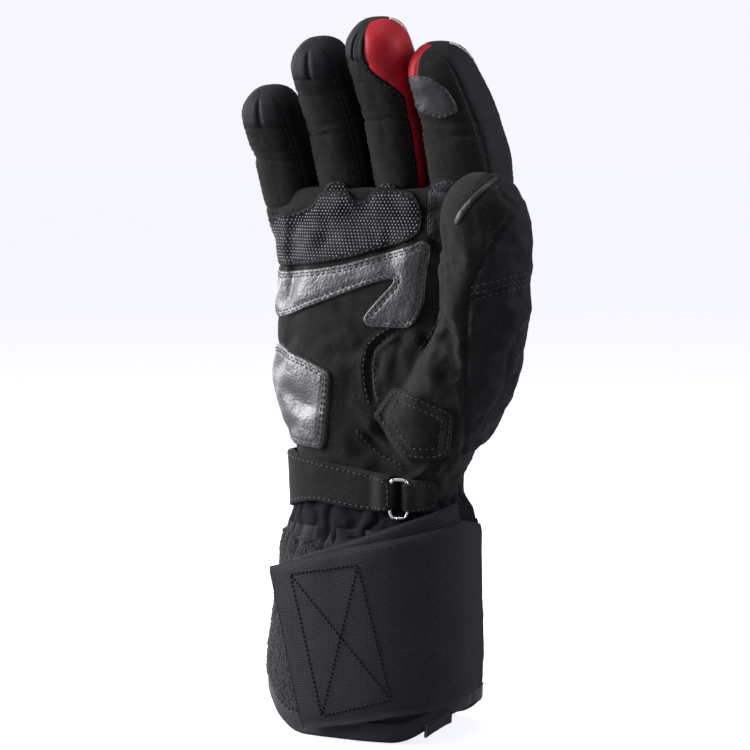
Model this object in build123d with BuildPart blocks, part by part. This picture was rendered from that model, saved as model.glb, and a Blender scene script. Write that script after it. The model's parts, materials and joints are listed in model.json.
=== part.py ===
from build123d import *
import os
from math import cos, radians, sin, tan

# Right-hand ski glove with a long gauntlet cuff, standing on its cuff. Millimetres.
# X points to the thumb side, Y to the back of the hand and Z up, towards the fingertips.
# The origin is the centre of the cuff opening, on the surface that the glove stands on.

# Layers, measured inwards from the outside of the glove
SHELL = 1.4  # suede, softshell or leather panel
GAP = 0.1  # between two layers that are not glued
PADDING = 3.4  # insulation with its fleece lining
LINING_OUT = -(SHELL + GAP)
LINING_IN = LINING_OUT - PADDING
# Layers sewn on the outside, measured outwards
PATCH = (0.1, 1.2)
SOFT_PAD = (0.1, 2.6)
SLIDER = (1.3, 5.0)

# Closed sections of the tubes: x, y, z, width, depth, corner radius
CUFF = [
    (0, 0, 0, 100, 76, 34),
    (0, 0, 40, 104, 78, 34),
    (1, 0, 75, 100, 72, 32),
    (2, 0, 112, 94, 66, 30),
]
HAND = [
    (2.5, 0, 88, 79, 57, 26),
    (3, 0, 122, 79, 56, 25),
    (2, -1, 160, 94, 54, 24),
    (2, -1, 205, 98, 46, 21),
    (6, 0, 262, 121, 34, 15.5),
]
THENAR = [
    (23, -4, 121, 38, 43, 18),
    (49, -15, 155, 51, 47, 22),
    (67.5, -28, 190, 39, 41, 18),
    (73.5, -37, 214, 38, 40, 18),
]

# Wrist hinge, along X
WRIST_Z = 97
WRIST_CUT = 13  # slope of each edge at the wrist gap, in degrees

# Fingers: hinge x and z, lean to the thumb side, base length, tip length, width
FINGERS = {
    "little": (-39.5, 240, -4, 28, 30.5, 26.0),
    "ring": (-10.8, 246, -3, 35, 40.5, 26.2),
    "middle": (16.5, 249, -1, 38, 43.5, 26.2),
    "index": (46.5, 249, 0, 33, 36.5, 28.8),
}
FINGER_DEPTH = 33
FINGER_CORNER = 12
TIP_ROUND = 10.0
KNUCKLE_LEAN = 16  # rest bend at the knuckle, in degrees
MIDDLE_LEAN = 12  # further rest bend at the middle joint
KNUCKLE_RANGE = (-15, 45)
MIDDLE_RANGE = (-12, 50)
HINGE_GAP = 0.5  # from a hinge axis to the cut edge beside it
CUT_MARGIN = 2.5  # degrees of room left at each end of a hinge's travel
CAP_LENGTH = 14
SEAM_Y = -6  # seam between a finger's palm panel and its back panel
SIDEWALL = (-6, 9)  # a red sidewall's span, from palm side to back
SIDEWALL_DEPTH = 5  # how far a red sidewall wraps in from the finger's side
SIDEWALL_BELOW_TIP = 8
OVERRUN = 12  # how far a stretch is drawn past its hinges before they are cut
REACH = 60  # half size of the cutting prisms

# Conductive patch on the index fingertip: spans across the finger and towards the palm
TOUCH_ACROSS = (-11.5, 8)
TOUCH_DEPTH = (-30, -10)
TOUCH_LOW = 12  # above the middle joint
TOUCH_BELOW_TIP = 9

# Thumb
THUMB_ORIGIN = (67.5, -28, 190)
THUMB_ALONG = Vector(6, -9, 33).normalized()
THUMB_PAD = Vector(-0.75, -0.66, 0)  # the way that the thumb's pad faces
THUMB_BASE = 34
THUMB_TIP = 38
THUMB_SIZE = (37.5, 39.5, 17)
THUMB_LEAN = 4
THUMB_BASE_RANGE = (-15, 25)
THUMB_TIP_RANGE = (-8, 35)
WIPER = (0.1, 3.5)  # inner and outer distance of the wiper blade from the thumb
WIPER_ACROSS = (-40, -5)
WIPER_DEPTH = (-9.5, -7)
WIPER_LOW = 8  # above the tip joint

# Wrist strap with its ring
WRIST_TUBE = (3, 0, 81, 57, 26)  # centre x and y, width, depth, corner radius
WRIST_STRAP = (0.5, 2.1)  # inner and outer distance from that tube
RING_FRAME = Plane(origin=(26, -31, 110), x_dir=(0.956, 0.292, 0), z_dir=(0.292, -0.956, 0))
RING_WIRE = 1.2
RING_WIDE = 9.0
RING_TALL = 19.0
RING_CORNER = 3.5
RING_LEFT = RING_FRAME.origin.X - RING_FRAME.x_dir.X * RING_WIDE / 2
RING_RIGHT = RING_FRAME.origin.X + RING_FRAME.x_dir.X * RING_WIDE / 2
LOOP_TALL = 10.0
LOOP_WALL = 1.5
PIN_PLAY = 0.06  # between the ring and the tab's loop
STRAP_PLAY = 1.0  # between the ring and the strap's loop
BAND_HEIGHTS = (95, 135)  # the band that the strap, the tab and the end are cut from
BACK_ROOM = ((-30, 60), (-10, 60))  # spans in X and Y that the strap stays out of
STRAP_FACE = [(-60, 103), (-32, 103), (RING_LEFT, 102.5), (RING_LEFT, 119.5), (-32, 127), (-60, 127)]
TAB_FACE = [(RING_RIGHT, 102), (60, 102), (60, 115), (RING_RIGHT, 118)]
STRAP_BACK = 16  # how far back the strap's outline reaches
TAB_BACK = -12
STRAP_END_ROOM = ((-60, 14), (16.4, 60), (104, 126))  # spans of the opening end

# Patches on the palm side: outlines in X and Z
GRIP_OUTLINE = [
    (-54, 238), (-44, 217), (-22, 217), (-4, 219), (18, 226), (34, 233), (35.5, 246),
    (29, 249), (6, 249), (3, 246), (-22, 246), (-25, 240),
]
LEATHER_OUTLINE = [
    (-54, 216), (-20, 215), (-2, 217), (20, 224), (36, 231.5), (50, 234), (54, 205),
    (36, 188), (8, 189), (4, 193), (32, 212), (26, 213.5), (-46, 191), (-54, 190),
]
HEEL_OUTLINE = [(-60, 182), (-40, 179), (-16, 166), (-17, 132), (-21, 129.5), (-60, 129.5)]
THENAR_OUTLINE = [
    (22, 162), (57, 150), (56, 132), (50, 123), (34, 124), (20, 132), (13, 142), (12, 154),
]
WEB_OUTLINE = [(38, 247), (60, 247), (62, 234), (55, 226), (52, 235), (38, 232)]
SLIDER_ROOM = ((-70, -36), (-12, 12), (138, 162))  # spans of the heel slider in X, Y and Z
HEEL_BACK = 14  # how far back the heel patch reaches

# The gauntlet's straps: outlines in X and Z, seen from the palm side
CINCH_OUTLINE = [(-27, 0.6), (62, 15), (62, 99), (-47, 71)]
UNDERLAY_OUTLINE = [(-41, 60), (62, 24), (62, 109), (30, 93), (-41, 70)]
HOOK_OUTLINE = [(-35, 13), (-4, 16), (-4, 38), (-39, 52)]
LOOP_OUTLINE = [(-70, 14), (-20, 14), (-6, 55), (-6, 93), (-70, 93)]
LOOP_PANEL = (0.1, 1.1)
UNDERLAY = (1.3, 2.3)
HOOK_PAD = (1.3, 2.6)
CINCH = (2.7, 4.5)
CINCH_END_Y = 6  # where the gauntlet strap is sewn in at the thumb side
CINCH_BACK = 5  # how far back the straps' outlines reach
LOOP_BACK = 20  # how far back the loop panel reaches
HEM = 12
HEM_THICK = 1.0
RIM = 1.5  # the hem's turned-in floor, under the shell and the lining
TAB_FRAME = Plane(origin=(46, -20, 0), x_dir=(0.47, 0.883, 0), z_dir=(0, 0, 1))
TAB_ROOM = ((-8, 8), (-3.5, 6), (1.5, 6.5))  # spans of the hem tab in that frame
ALL_ROUND = (-100, 100)  # a span wider than the glove


def frame_at(origin, hinge, along):
    """The plane of a joint: Z along the finger, X along the hinge, -Y to the palm side."""
    return Plane(origin=Vector(*origin), x_dir=hinge, z_dir=along)


def bent(frame, distance, angle):
    """The frame of the next joint, distance along this one and bent by angle."""
    along = frame.z_dir * cos(radians(angle)) - frame.y_dir * sin(radians(angle))
    return frame_at(frame.origin + frame.z_dir * distance, frame.x_dir, along)


def finger_frames(name):
    """The knuckle's and the middle joint's frames of a finger."""
    x, z, lean, base, _, _ = FINGERS[name]
    side = radians(lean)
    hinge = Vector(cos(side), 0, -sin(side))
    straight = frame_at((x, 0, z), hinge, Vector(sin(side), 0, cos(side)))
    knuckle = bent(straight, 0, KNUCKLE_LEAN)
    return straight, knuckle, bent(knuckle, base, MIDDLE_LEAN)


def thumb_frames():
    """The frames of the thumb's two joints."""
    hinge = THUMB_ALONG.cross(THUMB_PAD).normalized()
    base = frame_at(THUMB_ORIGIN, hinge, THUMB_ALONG)
    return base, bent(base, THUMB_BASE, THUMB_LEAN)


def side_on(frame):
    """The frame's own YZ plane, so that a sketch's x is the joint's Y and its y is Z."""
    return Plane(origin=frame.origin, x_dir=frame.y_dir, z_dir=frame.x_dir)


def roof(frame, height, palm_cut, back_cut, sign, half_width=REACH):
    """A prism that clears the room for a hinge. sign 1 removes what is above the hinge, -1 below."""
    peak = height - sign * HINGE_GAP
    far = height + sign * REACH
    palm = peak - sign * REACH * tan(radians(palm_cut))
    back = peak - sign * REACH * tan(radians(back_cut))
    with BuildPart() as prism:
        with BuildSketch(side_on(frame)):
            with BuildLine():
                Polyline((0, peak), (-REACH, palm), (-REACH, far), (REACH, far), (REACH, back), close=True)
            make_face()
        extrude(amount=half_width, both=True)
    return prism.part


def hinge_cuts(limits, rest_bend):
    """The slopes of the palm-side and back-side edges at a hinge."""
    extend, flex = -limits[0], limits[1]
    palm = (flex + CUT_MARGIN + rest_bend) / 2
    back = (extend + CUT_MARGIN - rest_bend) / 2
    return palm, back


def tube(sections, grow):
    """A closed loft through rounded rectangles, each grown by grow."""
    with BuildPart() as body:
        for x, y, z, width, depth, corner in sections:
            with BuildSketch(Plane.XY.offset(z)):
                with Locations((x, y)):
                    RectangleRounded(width + 2 * grow, depth + 2 * grow, corner + grow)
        loft(ruled=True)
    return body.part


def bar(frame, low, high, size, grow, round_tip):
    """A rounded bar along the frame's Z; its far end can be domed."""
    width, depth, corner = size
    with BuildPart() as rod:
        with BuildSketch(frame.offset(low)):
            RectangleRounded(width + 2 * grow, depth + 2 * grow, corner + grow)
        extrude(amount=high - low)
        if round_tip:
            end = rod.faces().sort_by(Axis(frame.origin, frame.z_dir))[-1]
            fillet(end.edges(), TIP_ROUND + grow)
    return rod.part


def shell_of(outer, inner, *cutters):
    """What is left of outer when inner and the cutters are taken away."""
    with BuildPart() as wall:
        add(outer)
        add(inner, mode=Mode.SUBTRACT)
        for cutter in cutters:
            add(cutter, mode=Mode.SUBTRACT)
    return wall.part


def side_of(solid, plane, keep):
    """The part of a solid on one side of a plane."""
    with BuildPart() as piece:
        add(solid)
        split(bisect_by=plane, keep=keep)
    return piece.part


def block(frame, x_span, y_span, z_span):
    """A box given by its spans along the frame's axes."""
    with BuildPart() as box:
        with BuildSketch(frame.offset(z_span[0])):
            with Locations(((x_span[0] + x_span[1]) / 2, (y_span[0] + y_span[1]) / 2)):
                Rectangle(x_span[1] - x_span[0], y_span[1] - y_span[0])
        extrude(amount=z_span[1] - z_span[0])
    return box.part


def common(solid, *others):
    """What is shared by all the solids."""
    with BuildPart() as piece:
        add(solid)
        for other in others:
            add(other, mode=Mode.INTERSECT)
    return piece.part


def front_prism(points, near=-80, far=-2):
    """A prism through the palm side whose outline in X and Z is given by points."""
    with BuildPart() as prism:
        with BuildSketch(Plane.XZ.offset(-far)):
            with BuildLine():
                Polyline(*points, close=True)
            make_face()
        extrude(amount=far - near)
    return prism.part


def save(solid, name):
    """Labels one sub-part and writes its STEP file."""
    with BuildPart() as piece:
        add(solid)
    piece.part.label = name
    export_step(piece.part, f"parts/{name}.step")


def panels(frame, outer, inner, cutters):
    """The palm panel and the back panel of one stretch of a finger."""
    wall = shell_of(outer, inner, *cutters)
    seam = Plane(
        origin=frame.origin + frame.y_dir * SEAM_Y, x_dir=frame.x_dir, z_dir=frame.y_dir
    )
    return side_of(wall, seam, Keep.BOTTOM), side_of(wall, seam, Keep.TOP)


def finger_stretch(frame, low, high, size, round_tip, cutters):
    """The palm panel, back panel and lining of one stretch of a finger."""

    def layer(grow):
        end = high + grow if round_tip else high
        return bar(frame, low, end, size, grow, round_tip)

    palm, back = panels(frame, layer(0), layer(-SHELL), cutters)
    lining = shell_of(layer(LINING_OUT), layer(LINING_IN), *cutters)
    return palm, back, lining


def build_finger(name):
    """One finger: a base stretch and a tip stretch, each with two panels and a lining."""
    _, _, _, base, tip, width = FINGERS[name]
    _, knuckle, middle = finger_frames(name)
    size = (width, FINGER_DEPTH, FINGER_CORNER)
    knuckle_cuts = hinge_cuts(KNUCKLE_RANGE, KNUCKLE_LEAN)
    middle_cuts = hinge_cuts(MIDDLE_RANGE, MIDDLE_LEAN)
    low_end = roof(knuckle, 0, *knuckle_cuts, -1)
    high_end = roof(knuckle, base, *middle_cuts, 1)
    tip_end = roof(middle, 0, *middle_cuts, -1)
    palm, back, lining = finger_stretch(
        knuckle, -OVERRUN, base + OVERRUN, size, False, [low_end, high_end]
    )
    save(palm, f"{name}_base_palm_panel")
    save(lining, f"{name}_base_lining")
    tip_palm, tip_back, tip_lining = finger_stretch(
        middle, -OVERRUN, tip, size, True, [tip_end]
    )
    save(tip_lining, f"{name}_tip_lining")
    if name == "middle":
        inward = (width / 2 - SIDEWALL_DEPTH, width)
        back = sidewall(back, knuckle, inward, base + OVERRUN, "middle_base_red_sidewall")
        tip_back = sidewall(tip_back, middle, inward, tip - SIDEWALL_BELOW_TIP, "middle_tip_red_sidewall")
    if name == "index":
        inward = (-width, SIDEWALL_DEPTH - width / 2)
        tip_back = sidewall(tip_back, middle, inward, tip - SIDEWALL_BELOW_TIP, "index_tip_red_sidewall")
        save(touch_patch(middle, tip, size), "index_touch_patch")
    else:
        cap_line = middle.offset(tip - CAP_LENGTH)
        save(side_of(tip_palm, cap_line, Keep.TOP), f"{name}_fingertip_cap")
        tip_palm = side_of(tip_palm, cap_line, Keep.BOTTOM)
    save(back, f"{name}_base_back_panel")
    save(tip_palm, f"{name}_tip_palm_panel")
    save(tip_back, f"{name}_tip_back_panel")


def sidewall(back, frame, x_span, high, name):
    """Cuts a red sidewall out of a back panel, writes it, and returns what is left."""
    room = block(frame, x_span, SIDEWALL, (-2 * OVERRUN, high))
    save(common(back, room), name)
    return shell_of(back, room)


def touch_patch(frame, tip, size):
    """The conductive patch on the index fingertip."""
    low, high = PATCH
    skin = shell_of(
        bar(frame, -OVERRUN, tip + high, size, high, True),
        bar(frame, -OVERRUN, tip + low, size, low, True),
    )
    return common(skin, block(frame, TOUCH_ACROSS, TOUCH_DEPTH, (TOUCH_LOW, tip - TOUCH_BELOW_TIP)))


def build_thumb():
    """The thumb: a base stretch and a tip stretch, with a wiper blade on the tip."""
    base_frame, tip_frame = thumb_frames()
    base_cuts = hinge_cuts(THUMB_BASE_RANGE, 0)
    tip_cuts = hinge_cuts(THUMB_TIP_RANGE, THUMB_LEAN)
    low_end = roof(base_frame, 0, *base_cuts, -1)
    high_end = roof(base_frame, THUMB_BASE, *tip_cuts, 1)
    tip_end = roof(tip_frame, 0, *tip_cuts, -1)
    palm, outer, lining = finger_stretch(
        base_frame, -OVERRUN, THUMB_BASE + OVERRUN, THUMB_SIZE, False, [low_end, high_end]
    )
    save(palm, "thumb_base_palm_panel")
    save(outer, "thumb_base_outer_panel")
    save(lining, "thumb_base_lining")
    palm, outer, lining = finger_stretch(
        tip_frame, -OVERRUN, THUMB_TIP, THUMB_SIZE, True, [tip_end]
    )
    save(palm, "thumb_tip_palm_panel")
    save(outer, "thumb_tip_outer_panel")
    save(lining, "thumb_tip_lining")
    inner, outer = WIPER
    skin = shell_of(
        bar(tip_frame, -OVERRUN, THUMB_TIP + outer, THUMB_SIZE, outer, True),
        bar(tip_frame, -OVERRUN, THUMB_TIP + inner, THUMB_SIZE, inner, True),
    )
    blade = common(skin, block(tip_frame, WIPER_ACROSS, WIPER_DEPTH, (WIPER_LOW, THUMB_TIP + 1)))
    save(blade, "thumb_wiper_blade")


def finger_rooms():
    """The prisms that clear each finger's room out of the top of the hand."""
    names = list(FINGERS)
    cuts = hinge_cuts(KNUCKLE_RANGE, KNUCKLE_LEAN)
    edges = [-REACH * 2]
    for left, right in zip(names, names[1:]):
        edges.append((FINGERS[left][0] + FINGERS[right][0]) / 2)
    edges.append(REACH * 2)
    rooms = []
    for name, left, right in zip(names, edges, edges[1:]):
        straight, _, _ = finger_frames(name)
        room = roof(straight, 0, *cuts, 1, 3 * REACH)
        top = 2 * FINGERS[name][1]
        rooms.append(common(room, block(Plane.XY, (left, right), ALL_ROUND, (WRIST_Z, top))))
    return rooms


def hand_solid(grow):
    """The palm and the thumb's root as one closed solid, grown by grow."""
    base_frame, _ = thumb_frames()
    thumb_room = roof(base_frame, 0, *hinge_cuts(THUMB_BASE_RANGE, 0), 1)
    with BuildPart() as body:
        add(tube(THENAR, grow))
        add(thumb_room, mode=Mode.SUBTRACT)
        add(tube(HAND, grow))
    return body.part


def wrist_room(sign):
    """The prism that clears the wrist gap, above the cuff for 1 and below the hand for -1."""
    frame = frame_at((0, 0, WRIST_Z), Vector(1, 0, 0), Vector(0, 0, 1))
    return roof(frame, 0, WRIST_CUT, WRIST_CUT, sign, 2 * REACH)


def build_hand():
    """The hand's shell, lining and the patches sewn on it."""
    rooms = [wrist_room(-1), *finger_rooms()]
    solids = {g: hand_solid(g) for g in (0, -SHELL, LINING_OUT, LINING_IN, *PATCH, SOFT_PAD[1], *SLIDER)}
    wall = shell_of(solids[0], solids[-SHELL], *rooms)
    seam = Plane.XZ
    save(side_of(wall, seam, Keep.TOP), "palm_panel")
    save(side_of(wall, seam, Keep.BOTTOM), "hand_back_panel")
    save(shell_of(solids[LINING_OUT], solids[LINING_IN], *rooms), "hand_lining")
    skin = shell_of(solids[PATCH[1]], solids[PATCH[0]], *rooms)
    save(common(skin, front_prism(GRIP_OUTLINE)), "grip_panel")
    save(common(skin, front_prism(LEATHER_OUTLINE)), "palm_leather_overlay")
    save(common(skin, front_prism(WEB_OUTLINE)), "thumb_web_patch")
    save(common(skin, front_prism(HEEL_OUTLINE, far=HEEL_BACK)), "heel_leather_patch")
    pad = shell_of(solids[SOFT_PAD[1]], solids[SOFT_PAD[0]], *rooms)
    save(common(pad, front_prism(THENAR_OUTLINE)), "thenar_pad")
    bump = shell_of(solids[SLIDER[1]], solids[SLIDER[0]])
    save(common(bump, block(Plane.XY, *SLIDER_ROOM)), "heel_slider")


def wrist_band():
    """A level band around the wrist."""
    x, y, width, depth, corner = WRIST_TUBE
    straight = [(x, y, z, width, depth, corner) for z in BAND_HEIGHTS]
    inner, outer = WRIST_STRAP
    return shell_of(tube(straight, outer), tube(straight, inner))


def ring_bar(side):
    """The plane at the middle of the ring's left or right bar, with Z along the bar."""
    across = RING_FRAME.x_dir * (side * RING_WIDE / 2)
    return Plane(origin=RING_FRAME.origin + across, x_dir=RING_FRAME.x_dir, z_dir=(0, 0, 1))


def webbing_loop(side, play):
    """The fold of webbing round one bar of the ring: the solid fold and the bore in it."""
    solids = []
    for radius in (RING_WIRE + play + LOOP_WALL, RING_WIRE + play):
        with BuildPart() as rod:
            with BuildSketch(ring_bar(side).offset(-LOOP_TALL / 2)):
                Circle(radius)
            extrude(amount=LOOP_TALL)
        solids.append(rod.part)
    return solids


def with_loop(webbing, side, play):
    """Webbing with its loop round the ring's bar."""
    fold, bore = webbing_loop(side, play)
    with BuildPart() as joined:
        add(webbing)
        add(fold)
        add(bore, mode=Mode.SUBTRACT)
    return joined.part


def build_wrist_strap():
    """The strap round the wrist, the tab with its ring, and the end that opens."""
    band = wrist_band()
    front = common(band, front_prism(STRAP_FACE, far=STRAP_BACK))
    palm_side = shell_of(front, block(Plane.XY, *BACK_ROOM, BAND_HEIGHTS))
    save(with_loop(palm_side, -1, STRAP_PLAY), "wrist_strap")
    tab = common(band, front_prism(TAB_FACE, far=TAB_BACK))
    save(with_loop(tab, 1, PIN_PLAY), "wrist_strap_tab")
    save(common(band, block(Plane.XY, *STRAP_END_ROOM)), "wrist_strap_end")
    save(wrist_ring(), "wrist_ring")


def wrist_ring():
    """The wire ring between the strap and its tab."""
    x, z = RING_WIDE / 2, RING_TALL / 2
    with BuildPart() as ring:
        with BuildLine(RING_FRAME) as route:
            FilletPolyline((x, -z), (x, z), (-x, z), (-x, -z), radius=RING_CORNER, close=True)
        with BuildSketch(Plane(origin=route.line @ 0, z_dir=route.line % 0)):
            Circle(RING_WIRE)
        sweep()
    return ring.part


def cuff_hem(inside):
    """The binding round the gauntlet's lower edge, with its turned-in floor."""
    _, _, _, width, depth, corner = CUFF[0]
    with BuildPart() as hem:
        add(common(tube(CUFF, HEM_THICK), block(Plane.XY, ALL_ROUND, ALL_ROUND, (-HEM, HEM))))
        add(inside, mode=Mode.SUBTRACT)
        with BuildSketch():
            for grow, mode in ((HEM_THICK, Mode.ADD), (LINING_IN, Mode.SUBTRACT)):
                RectangleRounded(width + 2 * grow, depth + 2 * grow, corner + grow, mode=mode)
        extrude(amount=RIM)
    return hem.part


def build_cuff():
    """The gauntlet with its lining, hem, tab and straps."""
    layers = (0, -SHELL, LINING_OUT, LINING_IN, GAP, *LOOP_PANEL, *UNDERLAY, *HOOK_PAD, *CINCH)
    solids = {grow: tube(CUFF, grow) for grow in sorted(set(layers))}

    def layer(span):
        inner, outer = span
        return shell_of(solids[outer], solids[inner])

    gap = wrist_room(1)
    floor = block(Plane.XY, ALL_ROUND, ALL_ROUND, (-HEM, RIM))
    front = block(Plane.XY, ALL_ROUND, (ALL_ROUND[0], CINCH_END_Y), (-HEM, 2 * WRIST_Z))
    save(shell_of(layer((-SHELL, 0)), gap, floor), "cuff_shell")
    save(shell_of(layer((LINING_IN, LINING_OUT)), gap, floor), "cuff_lining")
    save(cuff_hem(solids[GAP]), "cuff_hem")
    loop = common(layer(LOOP_PANEL), front_prism(LOOP_OUTLINE, far=LOOP_BACK))
    save(shell_of(loop, gap), "cuff_loop_panel")
    save(common(layer(UNDERLAY), front_prism(UNDERLAY_OUTLINE, far=CINCH_BACK), front), "cinch_underlay")
    save(common(layer(HOOK_PAD), front_prism(HOOK_OUTLINE)), "cinch_hook_pad")
    save(common(layer(CINCH), front_prism(CINCH_OUTLINE, far=CINCH_BACK), front), "cinch_strap")
    save(shell_of(block(TAB_FRAME, *TAB_ROOM), tube(CUFF, HEM_THICK + GAP)), "hem_tab")


if __name__ == "__main__":
    os.makedirs("parts", exist_ok=True)
    for finger in FINGERS:
        build_finger(finger)
    build_thumb()
    build_hand()
    build_wrist_strap()
    build_cuff()
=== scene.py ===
import json
import math

import bpy
import numpy as np
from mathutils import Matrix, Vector, geometry, noise
from mathutils.bvhtree import BVHTree
from mathutils.kdtree import KDTree


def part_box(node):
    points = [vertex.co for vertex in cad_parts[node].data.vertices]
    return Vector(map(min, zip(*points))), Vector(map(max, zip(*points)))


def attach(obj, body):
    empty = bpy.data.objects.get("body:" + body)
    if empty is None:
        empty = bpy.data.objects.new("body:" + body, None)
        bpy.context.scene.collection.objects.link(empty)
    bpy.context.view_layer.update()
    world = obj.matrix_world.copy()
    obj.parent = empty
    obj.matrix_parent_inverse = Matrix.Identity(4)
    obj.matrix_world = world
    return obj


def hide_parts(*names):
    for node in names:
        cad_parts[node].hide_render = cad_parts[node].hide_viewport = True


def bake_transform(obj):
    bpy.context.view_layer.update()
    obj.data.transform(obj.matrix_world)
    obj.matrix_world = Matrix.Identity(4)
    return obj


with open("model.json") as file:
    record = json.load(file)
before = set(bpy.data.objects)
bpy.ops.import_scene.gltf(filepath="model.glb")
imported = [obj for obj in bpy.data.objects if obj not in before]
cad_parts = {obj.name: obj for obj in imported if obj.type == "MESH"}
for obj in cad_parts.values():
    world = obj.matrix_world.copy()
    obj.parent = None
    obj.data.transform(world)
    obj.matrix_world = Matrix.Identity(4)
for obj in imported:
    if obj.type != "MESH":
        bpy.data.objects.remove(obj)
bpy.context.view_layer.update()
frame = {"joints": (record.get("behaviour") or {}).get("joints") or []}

# A right-hand ski glove. Lengths are in millimetres until a mesh is made, in the CAD frame:
# X to the thumb side, Y to the back of the hand, Z to the fingertips.
MM = 0.001
RNG = np.random.default_rng(7)

# ---------------------------------------------------------------- viewpoint
VIEW_AZIMUTH = math.radians(25)
VIEW_ELEVATION = math.radians(5.5)
CAMERA_DISTANCE = 1150.0
VIEW_WIDTH = 349.0  # what the picture spans at the glove, side to side
VIEW_CENTRE = 162.0  # height of the picture's centre, measured up the picture
TOWARD = np.array([
    math.sin(VIEW_AZIMUTH) * math.cos(VIEW_ELEVATION),
    -math.cos(VIEW_AZIMUTH) * math.cos(VIEW_ELEVATION),
    math.sin(VIEW_ELEVATION),
])
RIGHT = np.array([math.cos(VIEW_AZIMUTH), math.sin(VIEW_AZIMUTH), 0.0])
UP = np.cross(TOWARD, RIGHT)
EYE = UP * VIEW_CENTRE + TOWARD * CAMERA_DISTANCE


def seen(points):
    """Where points show on the drawing plane, which faces the palm from the thumb side."""
    rays = np.asarray(points, float) - EYE
    scale = CAMERA_DISTANCE / -(rays @ TOWARD)
    flat = rays * scale[..., None]
    return flat @ RIGHT, flat @ UP + VIEW_CENTRE


# ---------------------------------------------------------------- small maths
def smooth(t):
    t = np.clip(t, 0, 1)
    return t * t * (3 - 2 * t)


def bell(distance, width):
    """1 on a line, falling to nothing a little past the width."""
    return np.exp(-(distance / width) ** 2)


def table(rows, at):
    """Smooth interpolation of a table whose first column is the position."""
    rows = np.array(rows, float)
    x, y = rows[:, 0], rows[:, 1:]
    slope = np.gradient(y, x, axis=0)
    i = np.clip(np.searchsorted(x, at) - 1, 0, len(x) - 2)
    h = x[i + 1] - x[i]
    t = np.clip((at - x[i]) / h, 0, 1)[..., None]
    h = h[..., None]
    a, b, p, q = y[i], y[i + 1], slope[i] * h, slope[i + 1] * h
    return a + t * p + t * t * (3 * (b - a) - 2 * p - q) + t ** 3 * (2 * (a - b) + p + q)


def wave(points, size, seed, octaves=3):
    """Fractal noise of about -1 to 1 at each point; size is the largest feature."""
    shift = Vector((seed * 17.3, seed * 5.1, seed * 9.7))
    scaled = np.asarray(points, float).reshape(-1, 3) / size
    values = [noise.fractal(Vector(p) + shift, 1.0, 2.0, octaves) for p in scaled.tolist()]
    return np.array(values).reshape(np.asarray(points).shape[:-1])


def unit(v):
    return v / np.maximum(np.linalg.norm(v, axis=-1, keepdims=True), 1e-9)


def ring_angles(count):
    return np.linspace(0, 2 * math.pi, count, endpoint=False)


def oval(angle, roundness):
    """A rounded section of half size 1; angles go from the palm's middle towards the thumb side."""
    x, y = np.sin(angle), -np.cos(angle)
    return np.sign(x) * np.abs(x) ** (2 / roundness), np.sign(y) * np.abs(y) ** (2 / roundness)


def run_along(line):
    """Distance from a line's start to each of its points."""
    return np.concatenate([[0], np.cumsum(np.linalg.norm(np.diff(line, axis=0), axis=1))])


def gap_to(line, x, y, closed=False):
    """Distance from points (x, y) to a polyline, and the distance run along it."""
    line = np.array(line, float)
    if closed:
        line = np.vstack([line, line[:1]])
    best = np.full(np.shape(x), 1e9)
    along = np.zeros(np.shape(x))
    run = 0.0
    for (ax, ay), (bx, by) in zip(line[:-1], line[1:]):
        dx, dy = bx - ax, by - ay
        length = math.hypot(dx, dy)
        t = np.clip(((x - ax) * dx + (y - ay) * dy) / length ** 2, 0, 1)
        d = np.hypot(x - ax - t * dx, y - ay - t * dy)
        near = d < best
        best = np.where(near, d, best)
        along = np.where(near, run + t * length, along)
        run += length
    return best, along


def inside(line, x, y):
    """Whether points lie inside a closed outline."""
    line = np.array(line, float)
    result = np.zeros(np.shape(x), bool)
    for (ax, ay), (bx, by) in zip(line, np.roll(line, -1, axis=0)):
        if ay == by:
            continue
        crosses = (ay > y) != (by > y)
        result ^= crosses & (x < (bx - ax) * (y - ay) / (by - ay) + ax)
    return result


def well_inside(outline, places, least):
    """The places inside an outline and further than a least distance from it."""
    gap = gap_to(outline, places[:, 0], places[:, 1], closed=True)[0]
    return places[(gap > least) & inside(outline, places[:, 0], places[:, 1])]


CORNER_CUT = 0.14  # how much of a side each pass of corner cutting takes off


def rounded(line, step=0.8, passes=3, closed=True):
    """An outline with its corners softened and its points spaced evenly."""
    points = np.array(line, float)
    near, far = 1 - CORNER_CUT, CORNER_CUT
    for _ in range(passes):
        before, after = (points, np.roll(points, -1, axis=0)) if closed else (points[:-1], points[1:])
        cut = np.stack([before * near + after * far, before * far + after * near], 1).reshape(-1, 2)
        points = cut if closed else np.vstack([points[:1], cut[1:-1], points[-1:]])
    if closed:
        points = np.vstack([points, points[:1]])
    run = run_along(points)
    at = np.linspace(0, run[-1], max(6, int(run[-1] / step)) + 1)
    even = np.stack([np.interp(at, run, points[:, k]) for k in range(points.shape[1])], 1)
    return even[:-1] if closed else even


def tree_of(points, faces):
    return BVHTree.FromPolygons(np.asarray(points).tolist(), faces)


def grid_tree(grid, wrap=True):
    return tree_of(grid.reshape(-1, 3), grid_faces(*grid.shape[:2], wrap))


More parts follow.
